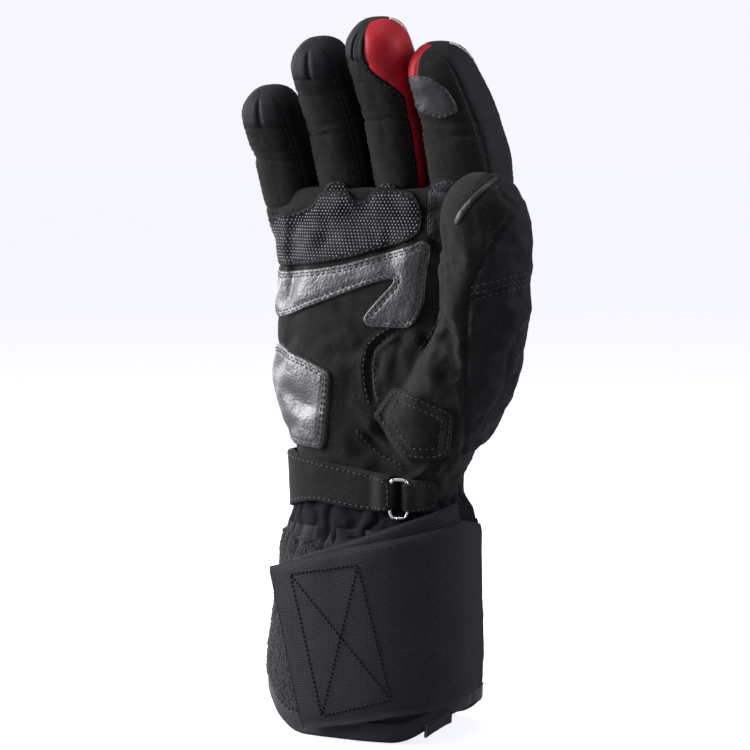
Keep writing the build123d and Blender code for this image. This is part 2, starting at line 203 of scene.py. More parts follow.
# ---------------------------------------------------------------- materials
class Graph:
    """The nodes behind one material; lengths are in metres."""

    def __init__(self, owner, shader):
        self.nodes, self.links = owner.node_tree.nodes, owner.node_tree.links
        self.shader = self.nodes[shader]

    def add(self, kind, inputs, **settings):
        """A node whose inputs are constants or the outputs of other nodes."""
        node = self.nodes.new("ShaderNode" + kind)
        for name, value in settings.items():
            setattr(node, name, value)
        for name, value in inputs.items():
            self.put(node, name, value)
        return node.outputs

    def put(self, node, name, value):
        if isinstance(value, bpy.types.NodeSocket):
            self.links.new(value, node.inputs[name])
        else:
            node.inputs[name].default_value = value

    def at(self, source="Object"):
        return self.add("TexCoord", {})[source]

    def noise(self, at, size, detail=4.0, roughness=0.55):
        """Noise whose features are about size metres across."""
        sockets = {"Scale": 1 / size, "Detail": detail, "Roughness": roughness, "Vector": at}
        return self.add("TexNoise", sockets)["Fac"]

    def cells(self, at, size):
        """Voronoi distance whose cells are about size metres across."""
        return self.add("TexVoronoi", {"Scale": 1 / size, "Vector": at})["Distance"]

    def ramp(self, value, *stops):
        """A colour ramp; stops are (position, colour)."""
        node = self.nodes.new("ShaderNodeValToRGB")
        for element, (position, colour) in zip(node.color_ramp.elements, (stops[0], stops[-1])):
            element.position, element.color = position, (*colour, 1)
        for position, colour in stops[1:-1]:
            node.color_ramp.elements.new(position).color = (*colour, 1)
        self.links.new(value, node.inputs["Fac"])
        return node.outputs["Color"]

    def roughness(self, value, low, high):
        """Roughness from low to high as a value goes from 0.3 to 0.7."""
        limits = {"From Min": 0.3, "From Max": 0.7, "To Min": low, "To Max": high}
        self.put(self.shader, "Roughness", self.add("MapRange", {**limits, "Value": value})["Result"])

    def mix(self, kind, a, b):
        return self.add("Mix", {"Factor": 1.0, 6: a, 7: b}, data_type="RGBA", blend_type=kind)[2]

    def base(self, colour):
        self.put(self.shader, "Base Color", colour)

    def bump(self, *layers):
        """Stacked bumps; layers are (height, strength, distance in metres)."""
        normal = {}
        for height, strength, distance in layers:
            inputs = {"Strength": strength, "Distance": distance, "Height": height, **normal}
            normal = {"Normal": self.add("Bump", inputs)["Normal"]}
        self.put(self.shader, "Normal", normal["Normal"])


def material(name, base, rough, build=None, **sockets):
    """A principled material; build(graph) adds its procedural detail."""
    mat = bpy.data.materials.new(name)
    mat.use_nodes = True
    graph = Graph(mat, "Principled BSDF")
    graph.base((*base, 1))
    graph.put(graph.shader, "Roughness", rough)
    for socket, value in sockets.items():
        graph.put(graph.shader, socket.replace("_", " "), value)
    if build:
        build(graph)
    return mat


BLACK, WHITE = (0.0, 0.0, 0.0), (1.0, 1.0, 1.0)
RIB = 1.12  # from rib to rib of the woven elastic
WARP_SCALE = 385.0  # of a wave texture, for threads 0.8 mm apart


def suede_look(g):
    """Short nap with pale specks, brushed patches and a soft sheen."""
    at = g.at()
    patches = g.ramp(g.noise(at, 0.018, 3), (0.3, (0.0045, 0.004, 0.004)), (0.7, (0.0095, 0.0085, 0.0085)))
    specks = g.ramp(g.cells(at, 0.0011), (0.08, (0.085, 0.07, 0.062)), (0.2, BLACK))
    thin = g.ramp(g.noise(at, 0.004, 2), (0.45, BLACK), (0.62, WHITE))
    g.base(g.mix("ADD", patches, g.mix("MULTIPLY", specks, thin)))
    g.bump((g.noise(at, 0.0006, 5, 0.7), 0.5, 0.00025), (g.noise(at, 0.005, 3), 0.35, 0.0006))


def softshell_look(g):
    """Tight plain weave with a faint blue cast."""
    at = g.at()
    shade = g.ramp(g.noise(at, 0.02, 3), (0.3, (0.0032, 0.0032, 0.0045)), (0.7, (0.006, 0.006, 0.008)))
    grain = g.ramp(g.noise(at, 0.0007, 2), (0.35, (0.6, 0.6, 0.6)), (0.65, (1.25, 1.25, 1.3)))
    g.base(g.mix("MULTIPLY", shade, grain))
    g.bump((g.cells(at, 0.00055), 0.35, 0.00015), (g.noise(at, 0.006, 3), 0.3, 0.0006))


def leather_look(g):
    """Glossy pebbled leather with fine creases, painted paler on the raised ridges as a painted highlight."""
    at = g.at()
    creases = g.noise(at, 0.009, 6, 0.62)
    # Painted highlight: the colour is paler where the crease noise raises the surface, on the ridges.
    g.base(g.ramp(creases, (0.3, (0.004, 0.004, 0.005)), (0.6, (0.01, 0.01, 0.012)),
                  (0.85, (0.03, 0.03, 0.034))))
    g.roughness(creases, 0.44, 0.56)
    g.bump((g.cells(at, 0.0013), 0.65, 0.00025), (g.noise(at, 0.0018, 4, 0.6), 0.24, 0.0004),
           (creases, 0.25, 0.0012))


def grip_look(g):
    """Fine-grained synthetic leather under the printed dots."""
    at = g.at()
    g.base(g.ramp(g.noise(at, 0.003, 4), (0.3, (0.0015, 0.0015, 0.002)), (0.7, (0.003, 0.003, 0.004))))
    g.bump((g.noise(at, 0.0012, 4), 0.5, 0.0003))


def red_look(g):
    """Soft red leather, a little darker where it is brushed down."""
    at = g.at()
    g.base(g.ramp(g.noise(at, 0.007, 4), (0.25, (0.24, 0.003, 0.008)), (0.75, (0.36, 0.006, 0.014))))
    g.bump((g.cells(at, 0.0008), 0.3, 0.00018), (g.noise(at, 0.006, 3), 0.25, 0.0005))


def plain_look(dark, light, size, grain):
    """A quiet material: two tones and a grain of the given size."""
    def build(g):
        at = g.at()
        g.base(g.ramp(g.noise(at, size, 4), (0.3, dark), (0.7, light)))
        g.bump((g.noise(at, grain, 4), 0.4, grain * 0.4))
    return build


def elastic_look(g):
    """Woven elastic: fine warp threads that cross the modelled ribs, with painted shade in the grooves between the
    ribs and a painted highlight on their crests.
    """
    at = g.at("UV")
    warp_inputs = {"Scale": WARP_SCALE, "Distortion": 1.5, "Detail": 2, "Vector": at}
    warp = g.add("TexWave", warp_inputs, bands_direction="X")["Fac"]
    rib_inputs = {"Scale": 2 * math.pi / (20 * RIB * MM), "Phase Offset": math.pi, "Vector": at}
    ribs = g.add("TexWave", rib_inputs, bands_direction="Y")["Fac"]
    tone = g.ramp(g.noise(at, 0.0009, 3), (0.3, (0.006, 0.006, 0.0078)), (0.7, (0.015, 0.0145, 0.0185)))
    threads = g.ramp(warp, (0.1, (0.8, 0.8, 0.8)), (0.9, (1.12, 1.12, 1.12)))
    # Painted shade and highlight: the colour is darker in the grooves between the modelled ribs and lighter on
    # their crests, in step with the rib geometry.
    painted_rib_shading = g.ramp(ribs, (0.15, (0.3, 0.3, 0.3)), (0.85, (1.6, 1.6, 1.65)))
    patchy = g.ramp(g.noise(at, 0.02, 3), (0.3, (0.8, 0.8, 0.8)), (0.7, (1.15, 1.15, 1.15)))
    weave_and_rib_shading = g.mix("MULTIPLY", tone, g.mix("MULTIPLY", threads, painted_rib_shading))
    g.base(g.mix("MULTIPLY", weave_and_rib_shading, patchy))
    g.bump((warp, 0.4, 0.0002))


def loop_look(g):
    """Brushed loop pile."""
    at = g.at()
    tufts = g.cells(at, 0.0012)
    g.base(g.ramp(tufts, (0.1, (0.03, 0.03, 0.034)), (0.7, (0.004, 0.004, 0.005))))
    g.bump((tufts, 1.0, 0.0008), (g.noise(at, 0.0008, 5, 0.8), 0.8, 0.0005))


def metal_look(g):
    """Polished wire with fine scratches."""
    at = g.at()
    g.roughness(g.noise(at, 0.0008, 4), 0.14, 0.3)
    g.bump((g.noise(at, 0.0012, 3), 0.1, 0.0001))


LOOKS = {}


def look(name, base, rough, build, level=None, sheen=None, sheen_roughness=None, tint=None, **sockets):
    named = {"Specular_IOR_Level": level, "Sheen_Weight": sheen, "Sheen_Roughness": sheen_roughness,
             "Sheen_Tint": tint and (*tint, 1)}
    sockets.update({socket: value for socket, value in named.items() if value is not None})
    LOOKS[name] = material(name, base, rough, build, **sockets)


look("suede", (0.01, 0.009, 0.009), 0.92, suede_look, 0.2, 0.055, 0.5, (0.5, 0.45, 0.46))
look("softshell", (0.01, 0.01, 0.012), 0.74, softshell_look, 0.22, 0.025, 0.4, (0.5, 0.52, 0.62))
look("gathered_lining", (0.006, 0.006, 0.008), 0.8, softshell_look, 0.08)
look("gloss_leather", (0.01, 0.01, 0.012), 0.34, leather_look, 0.9, Coat_Weight=0.12, Coat_Roughness=0.4)
look("worn_leather", (0.01, 0.01, 0.012), 0.45, leather_look, 0.12)
look("dotted_grip", (0.015, 0.015, 0.018), 0.75, grip_look, 0.2)
look("grip_dots", (0.32, 0.32, 0.34), 0.35,
     plain_look((0.09, 0.09, 0.095), (0.26, 0.26, 0.27), 0.004, 0.0006), Metallic=0.25)
look("red_leather", (0.7, 0.03, 0.05), 0.55, red_look, 0.2, 0.03, 0.4)
look("touch_leather", (0.07, 0.068, 0.076), 0.6,
     plain_look((0.006, 0.006, 0.0068), (0.014, 0.0135, 0.016), 0.008, 0.0007))
look("wiper_rubber", (0.09, 0.09, 0.1), 0.5,
     plain_look((0.006, 0.006, 0.007), (0.013, 0.013, 0.015), 0.006, 0.001))
look("slider_plastic", (0.012, 0.012, 0.013), 0.25,
     plain_look((0.008, 0.008, 0.009), (0.016, 0.016, 0.018), 0.01, 0.0015))
look("elastic", (0.02, 0.02, 0.025), 0.8, elastic_look, 0.25, 0.04, 0.4)
look("loop_fabric", (0.015, 0.015, 0.017), 0.95, loop_look, 0.2, 0.1, 0.5)
look("hook_plastic", (0.015, 0.015, 0.017), 0.6, loop_look)
look("hem_binding", (0.01, 0.01, 0.012), 0.7, softshell_look, 0.35, 0.15)
look("insulation", (0.03, 0.03, 0.034), 0.95, loop_look, sheen=0.4)
look("thread", (0.03, 0.03, 0.036), 0.6,
     plain_look((0.008, 0.008, 0.01), (0.022, 0.022, 0.026), 0.002, 0.0003))
look("dark_thread", (0.004, 0.004, 0.005), 0.8,
     plain_look((0.002, 0.002, 0.0025), (0.005, 0.005, 0.006), 0.002, 0.0003), 0.2)
look("piping", (0.55, 0.56, 0.6), 0.4, plain_look((0.42, 0.43, 0.46), (0.66, 0.67, 0.7), 0.004, 0.0005))
look("ring_steel", (0.72, 0.72, 0.74), 0.2, metal_look, Metallic=1.0)

# ---------------------------------------------------------------- meshes
made = {}


def piece(name, points, faces, look, uv=None, shading=None):
    """A new mesh object from points in millimetres."""
    mesh = bpy.data.meshes.new(name)
    mesh.from_pydata((np.asarray(points) * MM).tolist(), [], [tuple(f) for f in faces])
    mesh.polygons.foreach_set("use_smooth", np.ones(len(mesh.polygons), bool))
    if uv is not None:
        layer = mesh.uv_layers.new(name="UVMap")
        corners = np.zeros(len(mesh.loops), int)
        mesh.loops.foreach_get("vertex_index", corners)
        layer.data.foreach_set("uv", (np.asarray(uv) * MM)[corners].ravel())
    mesh.update()
    obj = bpy.data.objects.new(name, mesh)
    bpy.context.scene.collection.objects.link(obj)
    mesh.materials.append(LOOKS[look])
    if shading is not None:
        mesh.normals_split_custom_set_from_vertices([tuple(n) for n in shading])
    made[name] = obj
    return obj


def grid_piece(name, grid, look, wrap=True):
    return piece(name, grid.reshape(-1, 3), grid_faces(*grid.shape[:2], wrap), look)


def ride(obj, body, *nodes):
    """Puts a piece on a body, in place of the given CAD nodes."""
    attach(obj, body)
    if nodes:
        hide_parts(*nodes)


def grid_normals(grid, wrap=True):
    """Normals of a grid of points, rows by columns, that runs round a tube."""
    if wrap:
        across = np.roll(grid, -1, axis=1) - np.roll(grid, 1, axis=1)
    else:
        across = np.gradient(grid, axis=1)
    return unit(np.cross(across, np.gradient(grid, axis=0)))


def grid_faces(rows, columns, wrap):
    faces = []
    for j in range(rows - 1):
        for i in range(columns if wrap else columns - 1):
            k = (i + 1) % columns
            faces.append((j * columns + i, j * columns + k, (j + 1) * columns + k, (j + 1) * columns + i))
    return faces


def band_faces(rows, count):
    """Faces of a grid whose rows go round a band, with both its ends closed."""
    faces = grid_faces(rows, count, False)
    last = rows - 1
    faces += [(last * count + i, last * count + i + 1, i + 1, i) for i in range(count - 1)]
    for column, flip in ((0, True), (count - 1, False)):
        rim = [j * count + column for j in range(rows)]
        faces.append(tuple(rim[::-1] if flip else rim))
    return faces


# Places along a stitch and their share of its radius; then how far each rises
STITCH_PROFILE = [(0.0, 0.25), (0.12, 0.85), (0.5, 1.0), (0.88, 0.85), (1.0, 0.25)]
STITCH_ARCH = [0.0, 0.75, 1.0, 0.75, 0.0]
STITCH_SIDES = 6


def capsules(starts, ends, normals, radius):
    """Short rounded threads from starts to ends, sunk by a third into the surface."""
    axis = ends - starts
    along = unit(axis)
    side = unit(np.cross(along, normals))
    rise = np.cross(side, along)
    points, faces = [], []
    sides = STITCH_SIDES
    for k in range(len(starts)):
        first = len(points)
        for (t, girth), lift in zip(STITCH_PROFILE, STITCH_ARCH):
            centre = starts[k] + axis[k] * t + rise[k] * radius * (lift * 0.9 - 0.35)
            for a in ring_angles(sides):
                points.append(centre + (side[k] * math.cos(a) + rise[k] * math.sin(a)) * radius * girth)
        for ring in range(len(STITCH_PROFILE) - 1):
            for i in range(sides):
                a = first + ring * sides + i
                b = first + ring * sides + (i + 1) % sides
                faces.append((a, b, b + sides, a + sides))
        faces.append(tuple(range(first + sides - 1, first - 1, -1)))
        faces.append(tuple(range(len(points) - sides, len(points))))
    return np.array(points), faces


def stitches(path, normals, length=2.0, pitch=2.8, radius=0.27):
    """A row of stitches along a path on a surface."""
    run = run_along(path)
    starts = np.arange(0.4, run[-1] - length, pitch)

    def at(distance, values):
        return np.stack([np.interp(distance, run, values[:, k]) for k in range(3)], 1)

    upright = unit(at(starts + length / 2, normals))
    return capsules(at(starts, path), at(starts + length, path), upright, radius)


def merge(parts):
    """Joins (points, faces) pairs."""
    points, faces, count = [], [], 0
    for p, f in parts:
        points.append(p)
        faces += [tuple(i + count for i in face) for face in f]
        count += len(p)
    return np.vstack(points), faces


def closed_tube(grid):
    """Points and faces of a tube with both its ends closed."""
    rows, count = grid.shape[:2]
    faces = grid_faces(rows, count, True)
    faces.append(tuple(range(count - 1, -1, -1)))
    faces.append(tuple(range((rows - 1) * count, rows * count)))
    return grid.reshape(-1, 3), faces


def cord_tube(path, radius, sides=8):
    """A round tube along a path."""
    along = unit(np.gradient(path, axis=0))
    side = unit(np.cross(along, TOWARD))
    rise = np.cross(side, along)
    rings = [side * math.cos(a) * radius + rise * math.sin(a) * radius + path for a in ring_angles(sides)]
    return closed_tube(np.stack(rings, 1))


# ---------------------------------------------------------------- fingers
JOINTS = {j["name"]: j for j in frame["joints"]}


def joint_at(name):
    """A joint's place in millimetres and its axis."""
    return np.array(JOINTS[name]["pos_m"]) / MM, unit(np.array(JOINTS[name]["axis"]))


def turned(vector, axis, degrees):
    a = np.radians(degrees)[..., None]
    return vector * np.cos(a) + np.cross(axis, vector) * np.sin(a)


FINGER_ROOT = 16.0  # how far a finger's skin runs on below its knuckle
HINGE_REACH = 8.0  # how far a bend spreads to each side of its hinge


class Limb:
    """The smooth bent axis of a finger or the thumb, with its two joints and its bodies."""

    def __init__(self, name, joints, tip, leans, root=FINGER_ROOT):
        self.lower, self.upper = ("hand", f"{name}_base"), f"{name}_tip"
        self.first, self.axis = joint_at(f"{name}_{joints[0]}")
        self.second, _ = joint_at(f"{name}_{joints[1]}")
        self.base = float(np.linalg.norm(self.second - self.first))
        self.length = self.base + tip
        middle = unit(self.second - self.first)
        self.s = np.arange(-root, self.length + 0.25, 0.5)
        reach = 2 * HINGE_REACH
        bend = leans[1] * smooth((self.s - self.base + HINGE_REACH) / reach)
        bend -= leans[0] * (1 - smooth((self.s + HINGE_REACH) / reach))
        self.along = turned(np.tile(middle, (len(self.s), 1)), self.axis, bend)
        steps = (self.along[1:] + self.along[:-1]) * 0.25
        line = np.vstack([np.zeros(3), np.cumsum(steps, axis=0)])
        self.line = line - line[np.argmin(abs(self.s))] + self.first

    def at(self, s):
        """Centre, side and back directions at distances s."""
        pick = lambda values: np.stack([np.interp(s, self.s, values[:, k]) for k in range(3)], -1)
        along = unit(pick(self.along))
        side = np.broadcast_to(self.axis, along.shape)
        return pick(self.line), side, np.cross(along, side)

    def blend_at(self, obj):
        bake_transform(obj)

    def blend_lower(self, obj):
        self.blend_at(obj)

    def blend_upper(self, obj):
        self.blend_at(obj)

    def tangent(self, s):
        return np.array([np.interp(s, self.s, self.along[:, k]) for k in range(3)])


ROUNDNESS = 2.6
SEAM_DEPTH = 0.8
MEAN_SECTION = np.array([13.0, 16.0])  # a finger's mean half width and half depth
GIRTH = 2 * math.pi * 14.2
SPACING = 1.15  # between the rows and columns of a finger's skin
BESIDE_SEAM = np.array([-1.5, -0.9, -0.4, 0, 0.4, 0.9, 1.5])  # rows or columns added at each seam
SKIRT = 1.2  # how deep the sides of a panel turn in at its seams
FINGER_DOME = 12.5  # length of a fingertip's rounded end
CAP_DEPTH = 13.0
CAP_ARCH = 2.6  # how far a fingertip cap's edge dips at the sides of the palm panel


def girth_angles(fractions, roundness):
    """Section angles for fractions of the way round, from the palm's middle towards the thumb side."""
    t = np.linspace(0, 2 * math.pi, 721)
    run = run_along(np.stack(oval(t, roundness), 1) * MEAN_SECTION)
    return np.interp(np.mod(fractions, 1), run / run[-1], t)


def centred(fraction):
    """A fraction of the way round, brought between -0.5 and 0.5."""
    return (fraction + 0.5) % 1 - 0.5


def columns_for(seams):
    """Column fractions round a finger, denser beside each seam."""
    dense = [(seam + offset / GIRTH) % 1 for seam in seams for offset in BESIDE_SEAM.tolist()]
    count = int(GIRTH / SPACING)
    keep = [w for w in np.arange(count) / count if min(abs(centred(w - d)) for d in dense) * GIRTH > 0.6]
    return np.array(sorted(dense + keep))


class Skin:
    """A grid of points round a limb: rows along it, columns round it."""

    def __init__(self, limb, widths, seams, cap, seam_shift, seed):
        self.limb, self.seed = limb, seed
        self.w0 = columns_for(seams)
        length = limb.length
        straight = length - FINGER_DOME
        body = np.arange(-FINGER_ROOT, straight, SPACING)
        if cap is not None:
            dense = BESIDE_SEAM + cap
            body = np.sort(np.concatenate([body[np.abs(body - cap) > 2.0], dense[dense < straight]]))
        turn = np.linspace(0, math.pi / 2, 15)
        self.s0 = np.concatenate([body, straight + FINGER_DOME * np.sin(turn)])
        close = np.concatenate([np.ones(len(body)), np.maximum(np.cos(turn), 0.004) ** 0.72])
        s = np.repeat(self.s0[:, None], len(self.w0), 1)
        w = np.repeat(self.w0[None, :], len(self.s0), 0)
        if cap is not None:
            arch = np.maximum(-CAP_ARCH * np.abs(centred(w) / 0.2) ** 2, -4)
            s = s + arch * bell(s - cap, 5.0) * (close[:, None] > 0.99)
        if seam_shift:
            seam, shift, low, high = seam_shift
            rise = np.clip((centred(w) - low) / (seam - low), 0, 1)
            w = w + shift(s) * rise * np.clip((high - centred(w)) / (high - seam), 0, 1)
        self.s, self.w = s, w
        x, y = oval(girth_angles(w, ROUNDNESS), ROUNDNESS)
        size = table(widths, np.clip(s / length, widths[0][0], 1))
        centre, side, back = limb.at(s)
        ring = side * (size[..., 0] * x)[..., None] + back * (size[..., 1] * y)[..., None]
        self.P = centre + side * size[..., 2:3] + ring * close[:, None, None]
        self.renew_normals()
        self.height = np.zeros(s.shape)

    def renew_normals(self):
        self.N = grid_normals(self.P)
        self.N[-1] = self.limb.tangent(self.limb.length)

    def to_seam(self, seam):
        """Distance in millimetres round the finger to a seam at a fraction."""
        return np.abs(centred(self.w0[None, :] - seam)) * GIRTH * np.ones_like(self.s)

    def groove(self, distance, strength):
        """Presses a seam in, with a puffed roll and small puckers beside it."""
        pucker = 0.5 + 0.5 * np.sin(self.s * 2.1 + wave(self.P, 9, self.seed) * 5)
        self.height -= strength * SEAM_DEPTH * bell(distance, 1.1)
        self.height += strength * 0.28 * (0.4 + 0.6 * pucker) * bell(distance - 2.4, 1.5)

    def finish(self):
        self.P = self.P + self.N * self.height[..., None]
        self.renew_normals()

    def rows_between(self, low, high):
        return [j for j in range(len(self.s0)) if low - 1e-6 <= self.s0[j] <= high + 1e-6]

    def columns_between(self, low, high):
        """Columns from one seam fraction to another, going towards the thumb side."""
        count = len(self.w0)
        first, last = (int(np.argmin(np.abs(centred(self.w0 - seam)))) for seam in (low, high))
        return [(first + k) % count for k in range((last - first) % count + 1)]

    def patch(self, name, look, rows, columns, lift=0.0):
        """A piece cut from the skin, with a skirt at its sides; columns None means all the way round."""
        wrap = columns is None
        columns = list(range(len(self.w0))) if wrap else columns
        normals = self.N[np.ix_(rows, columns)]
        points = (self.P[np.ix_(rows, columns)] + normals * lift).reshape(-1, 3)
        faces = grid_faces(len(rows), len(columns), wrap)
        shading = normals.reshape(-1, 3)
        starts = np.arange(len(rows)) * len(columns)
        for edge, flip in () if wrap else ((starts, False), (starts + len(columns) - 1, True)):
            first = len(points)
            points = np.vstack([points, points[edge] - shading[edge] * SKIRT])
            shading = np.vstack([shading, shading[edge]])
            for k in range(len(edge) - 1):
                face = (edge[k], edge[k + 1], first + k + 1, first + k)
                faces.append(face[::-1] if flip else face)
        return piece(name, points, faces, look, shading=shading)

    def path(self, seam, low, high, offset=0.0, lift=0.0):
        """Points and normals along a seam, offset round the finger in millimetres."""
        rows = self.rows_between(low, high)
        target = seam + offset / GIRTH
        order = np.argsort((self.w0 - target) % 1)
        after, before = order[0], order[-1]
        span = (self.w0[after] - self.w0[before]) % 1
        t = ((target - self.w0[before]) % 1) / span
        points = self.P[rows, before] * (1 - t) + self.P[rows, after] * t
        normals = unit(self.N[rows, before] * (1 - t) + self.N[rows, after] * t)
        return points + normals * lift, normals


FRONT = 0.135  # half of the palm panel's width, as a fraction of the way round
SIDE_BACK = 0.355  # where the side strip meets the back panel
FINGER_SHAPES = {
    # tip length, then half width, half depth and shift to the thumb side along the finger
    "little": (30.0, [(-0.3, 9.6, 12.6, 2.4), (-0.12, 12.2, 15.0, 0.4), (0.1, 13.2, 15.6, 0),
                      (0.5, 13.3, 14.8, -1.0), (0.8, 13.0, 13.8, -2.0), (1.0, 12.4, 13.0, -2.2)]),
    "ring": (39.5, [(-0.3, 12.4, 15.8, 0), (0.1, 13.3, 16.4, 0), (0.5, 13.2, 15.2, -1.2), (0.8, 12.8, 14.2, -2.4),
                    (1.0, 12.0, 13.2, -2.8)]),
    "middle": (41.5, [(-0.3, 12.4, 16.2, 0), (0.1, 13.3, 16.8, 0), (0.5, 13.5, 15.8, -1.2), (0.8, 13.8, 14.8, -2.6),
                      (1.0, 13.2, 13.8, -3.0)]),
    "index": (34.5, [(-0.3, 9.0, 13.5, -7.0), (-0.02, 16.6, 19.4, 1.6), (0.1, 17.2, 19.8, 1.6),
                     (0.5, 15.9, 17.2, -1.4), (0.8, 14.0, 15.0, -5.0), (1.0, 12.6, 13.4, -7.2)]),
}


def knuckle_creases(skin, limb, places, seed):
    """Soft folds across the palm side where a limb bends."""
    palm = np.cos(skin.w * 2 * math.pi)
    for k, (place, depth) in enumerate(places):
        wobble = wave(skin.P, 14, seed + k) * 2.2
        skin.height -= depth * bell(skin.s - place - wobble, 1.5) * smooth((palm + 0.35) / 0.9)
    slack = wave(skin.P * np.array([1, 1, 0.55]), 11, seed + 9, 4)
    skin.height += 0.42 * slack * smooth((skin.limb.length - 6 - skin.s) / 10)


def build_finger(name, seed):
    """A finger's skin, with its seams, its knuckle creases and its slack."""
    tip, widths = FINGER_SHAPES[name]
    limb = Limb(name, ("knuckle", "middle_joint"), tip, (16, 12))
    length = limb.length
    cap = None if name == "index" else length - CAP_DEPTH
    shift = None
    if name == "middle":
        shift = (FRONT, lambda s: -0.14 * smooth((s - length + 34) / 22), -FRONT, SIDE_BACK)
    if name == "index":
        shift = (-FRONT, lambda s: 0.075 * smooth((s - length + 26) / 5), -SIDE_BACK, FRONT)
    seams = [FRONT, -FRONT, SIDE_BACK, -SIDE_BACK]
    skin = Skin(limb, widths, seams + ([] if cap is None else [0.0]), cap, shift, seed)
    for seam in seams:
        skin.groove(skin.to_seam(seam), smooth((length - skin.s) / 5))
    if cap is not None:
        front = smooth((FRONT + 0.012 - np.abs(centred(skin.w0))) / 0.012)[None, :]
        flat = np.ones_like(skin.s)
        skin.groove(np.abs(skin.s0[:, None] - cap) * flat, front * flat)
        skin.groove(skin.to_seam(0.0), (skin.s0[:, None] > cap) * smooth((length - skin.s) / 4))
    creases = [(limb.base - 2, 0.9), (limb.base + 4, 0.6), (2, 0.8), (length * 0.72, 0.35)]
    knuckle_creases(skin, limb, creases, seed)
    skin.finish()
    return skin, limb


def clad_finger(name, seed):
    """All the visible pieces of one finger, those of its base and those of its tip."""
    skin, limb = build_finger(name, seed)
    length = limb.length
    split = skin.s0[np.argmin(np.abs(skin.s0 - limb.base * 0.5))]
    low, high = skin.rows_between(-99, split), skin.rows_between(split, 999)
    front, rest = skin.columns_between(-FRONT, FRONT), skin.columns_between(FRONT, -FRONT)
    groups = {"base": [], "tip": []}

    def cut(label, look, rows, columns, lift=0.0):
        """A panel of one part of the finger, in place of the CAD's panel of the same name."""
        obj = skin.patch(f"{name}_{label}", look, rows, columns, lift)
        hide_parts(f"{name}_{label}")
        groups["base" if label.startswith("base") else "tip"].append(obj)

    top = high
    if name != "index":
        cap = length - CAP_DEPTH
        top = [j for j in high if skin.s0[j] <= cap + 1e-6]
        cut("fingertip_cap", "softshell", [j for j in high if skin.s0[j] >= cap - 1e-6], front)
    cut("base_palm_panel", "suede", low, front)
    cut("tip_palm_panel", "suede", top, front)
    back_low, back_high = rest, rest
    if name == "middle":
        wall = skin.columns_between(FRONT, SIDE_BACK)
        back_low = back_high = skin.columns_between(SIDE_BACK, -FRONT)
        cut("base_red_sidewall", "red_leather", low, wall)
        cut("tip_red_sidewall", "red_leather", high, wall)
    if name == "index":
        wall = skin.columns_between(-SIDE_BACK, -FRONT)
        back_high = skin.columns_between(FRONT, -SIDE_BACK)
        rows_red = [j for j in high if skin.s0[j] >= length - 22]
        rows_black = [j for j in high if skin.s0[j] <= skin.s0[rows_red[0]] + 1e-6]
        cut("tip_red_sidewall", "red_leather", rows_red, wall)
        groups["tip"].append(skin.patch("index_tip_inner_side", "softshell", rows_black, wall))
    cut("base_back_panel", "softshell", low, back_low)
    cut("tip_back_panel", "softshell", high, back_high)
    for part, reach in (("base", (2, split)), ("tip", (split + 1.5, length - 9))):
        rows = [stitches(*skin.path(seam, *reach, offset), radius=0.2)
                for seam, offset in ((-FRONT, STITCH_INSET), (FRONT, -STITCH_INSET))]
        groups[part].append(piece(f"{name}_{part}_stitching", *merge(rows), "thread"))
    cut("base_lining", "insulation", sorted({*low[::3], low[-1]}), None, -LINING_DEPTH)
    cut("tip_lining", "insulation", sorted({high[0], *high[1:-1:3]}), None, -LINING_DEPTH)
    if name in ("middle", "index"):
        points, _ = skin.path(SIDE_BACK, length - PIPING_REACH, length - 0.4, lift=0.25)
        groups["tip"].append(piece(f"{name}_tip_piping", *cord_tube(points[::2], 0.5), "piping"))
    return skin, limb, groups


STITCH_INSET = 1.7  # from a finger's seam to the stitches beside it
LINING_DEPTH = 2.4
PIPING_REACH = 24.0
finger_skins = {}
for order, finger in enumerate(FINGER_SHAPES):
    finger_skins[finger] = clad_finger(finger, 11 + order * 7)

# ---------------------------------------------------------------- hand and thumb body
PAD_SIDE = unit(np.array([-0.75, -0.66, 0.0]))  # the way that the thumb's pad faces
THUMB_TIP = 34.5
THUMB_DOME = 15.0
thumb_limb = Limb("thumb", ("root_joint", "tip_joint"), THUMB_TIP, (2, 4), root=30.0)
HAND_SHAPE = [
    # height, centre x and y, half width, half depth
    (88, 2.5, 0.0, 37.5, 27.0),
    (112, 2.5, 0.0, 38.5, 27.0),
    (132, 2.5, 0.0, 41.0, 27.0),
    (160, 1.5, -0.5, 46.5, 26.0),
    (190, 1.5, -1.0, 46.5, 23.5),
    (212, 2.0, -1.0, 48.0, 21.5),
    (232, 5.0, -1.0, 56.0, 19.0),
    (246, 6.0, -1.5, 59.5, 17.5),
]
THENAR_SHAPE = [
    # height, centre x and y, half width, half depth
    (104, 18.0, -2.0, 17.0, 18.0),
    (120, 25.0, -4.5, 19.5, 21.0),
    (138, 36.0, -9.5, 22.5, 23.0),
    (158, 48.0, -16.5, 24.0, 23.0),
    (176, 57.5, -23.0, 22.3, 21.6),
    (190, 63.5, -28.5, 20.2, 20.6),
]
THUMB_DRIFT = -3.4  # how far the padding puts the thumb's skin from its hinges' line
HAND_TOP = 249.0
HAND_VOXEL = 1.25


def tube_grid(shape, heights, count, roundness):
    """A stack of level rounded sections."""
    rows = table(shape, heights)
    x, y = oval(ring_angles(count), roundness)
    grid = np.zeros((len(heights), count, 3))
    grid[..., 0] = rows[:, 0, None] + rows[:, 2, None] * x
    grid[..., 1] = rows[:, 1, None] + rows[:, 3, None] * y
    grid[..., 2] = heights[:, None]
    return grid


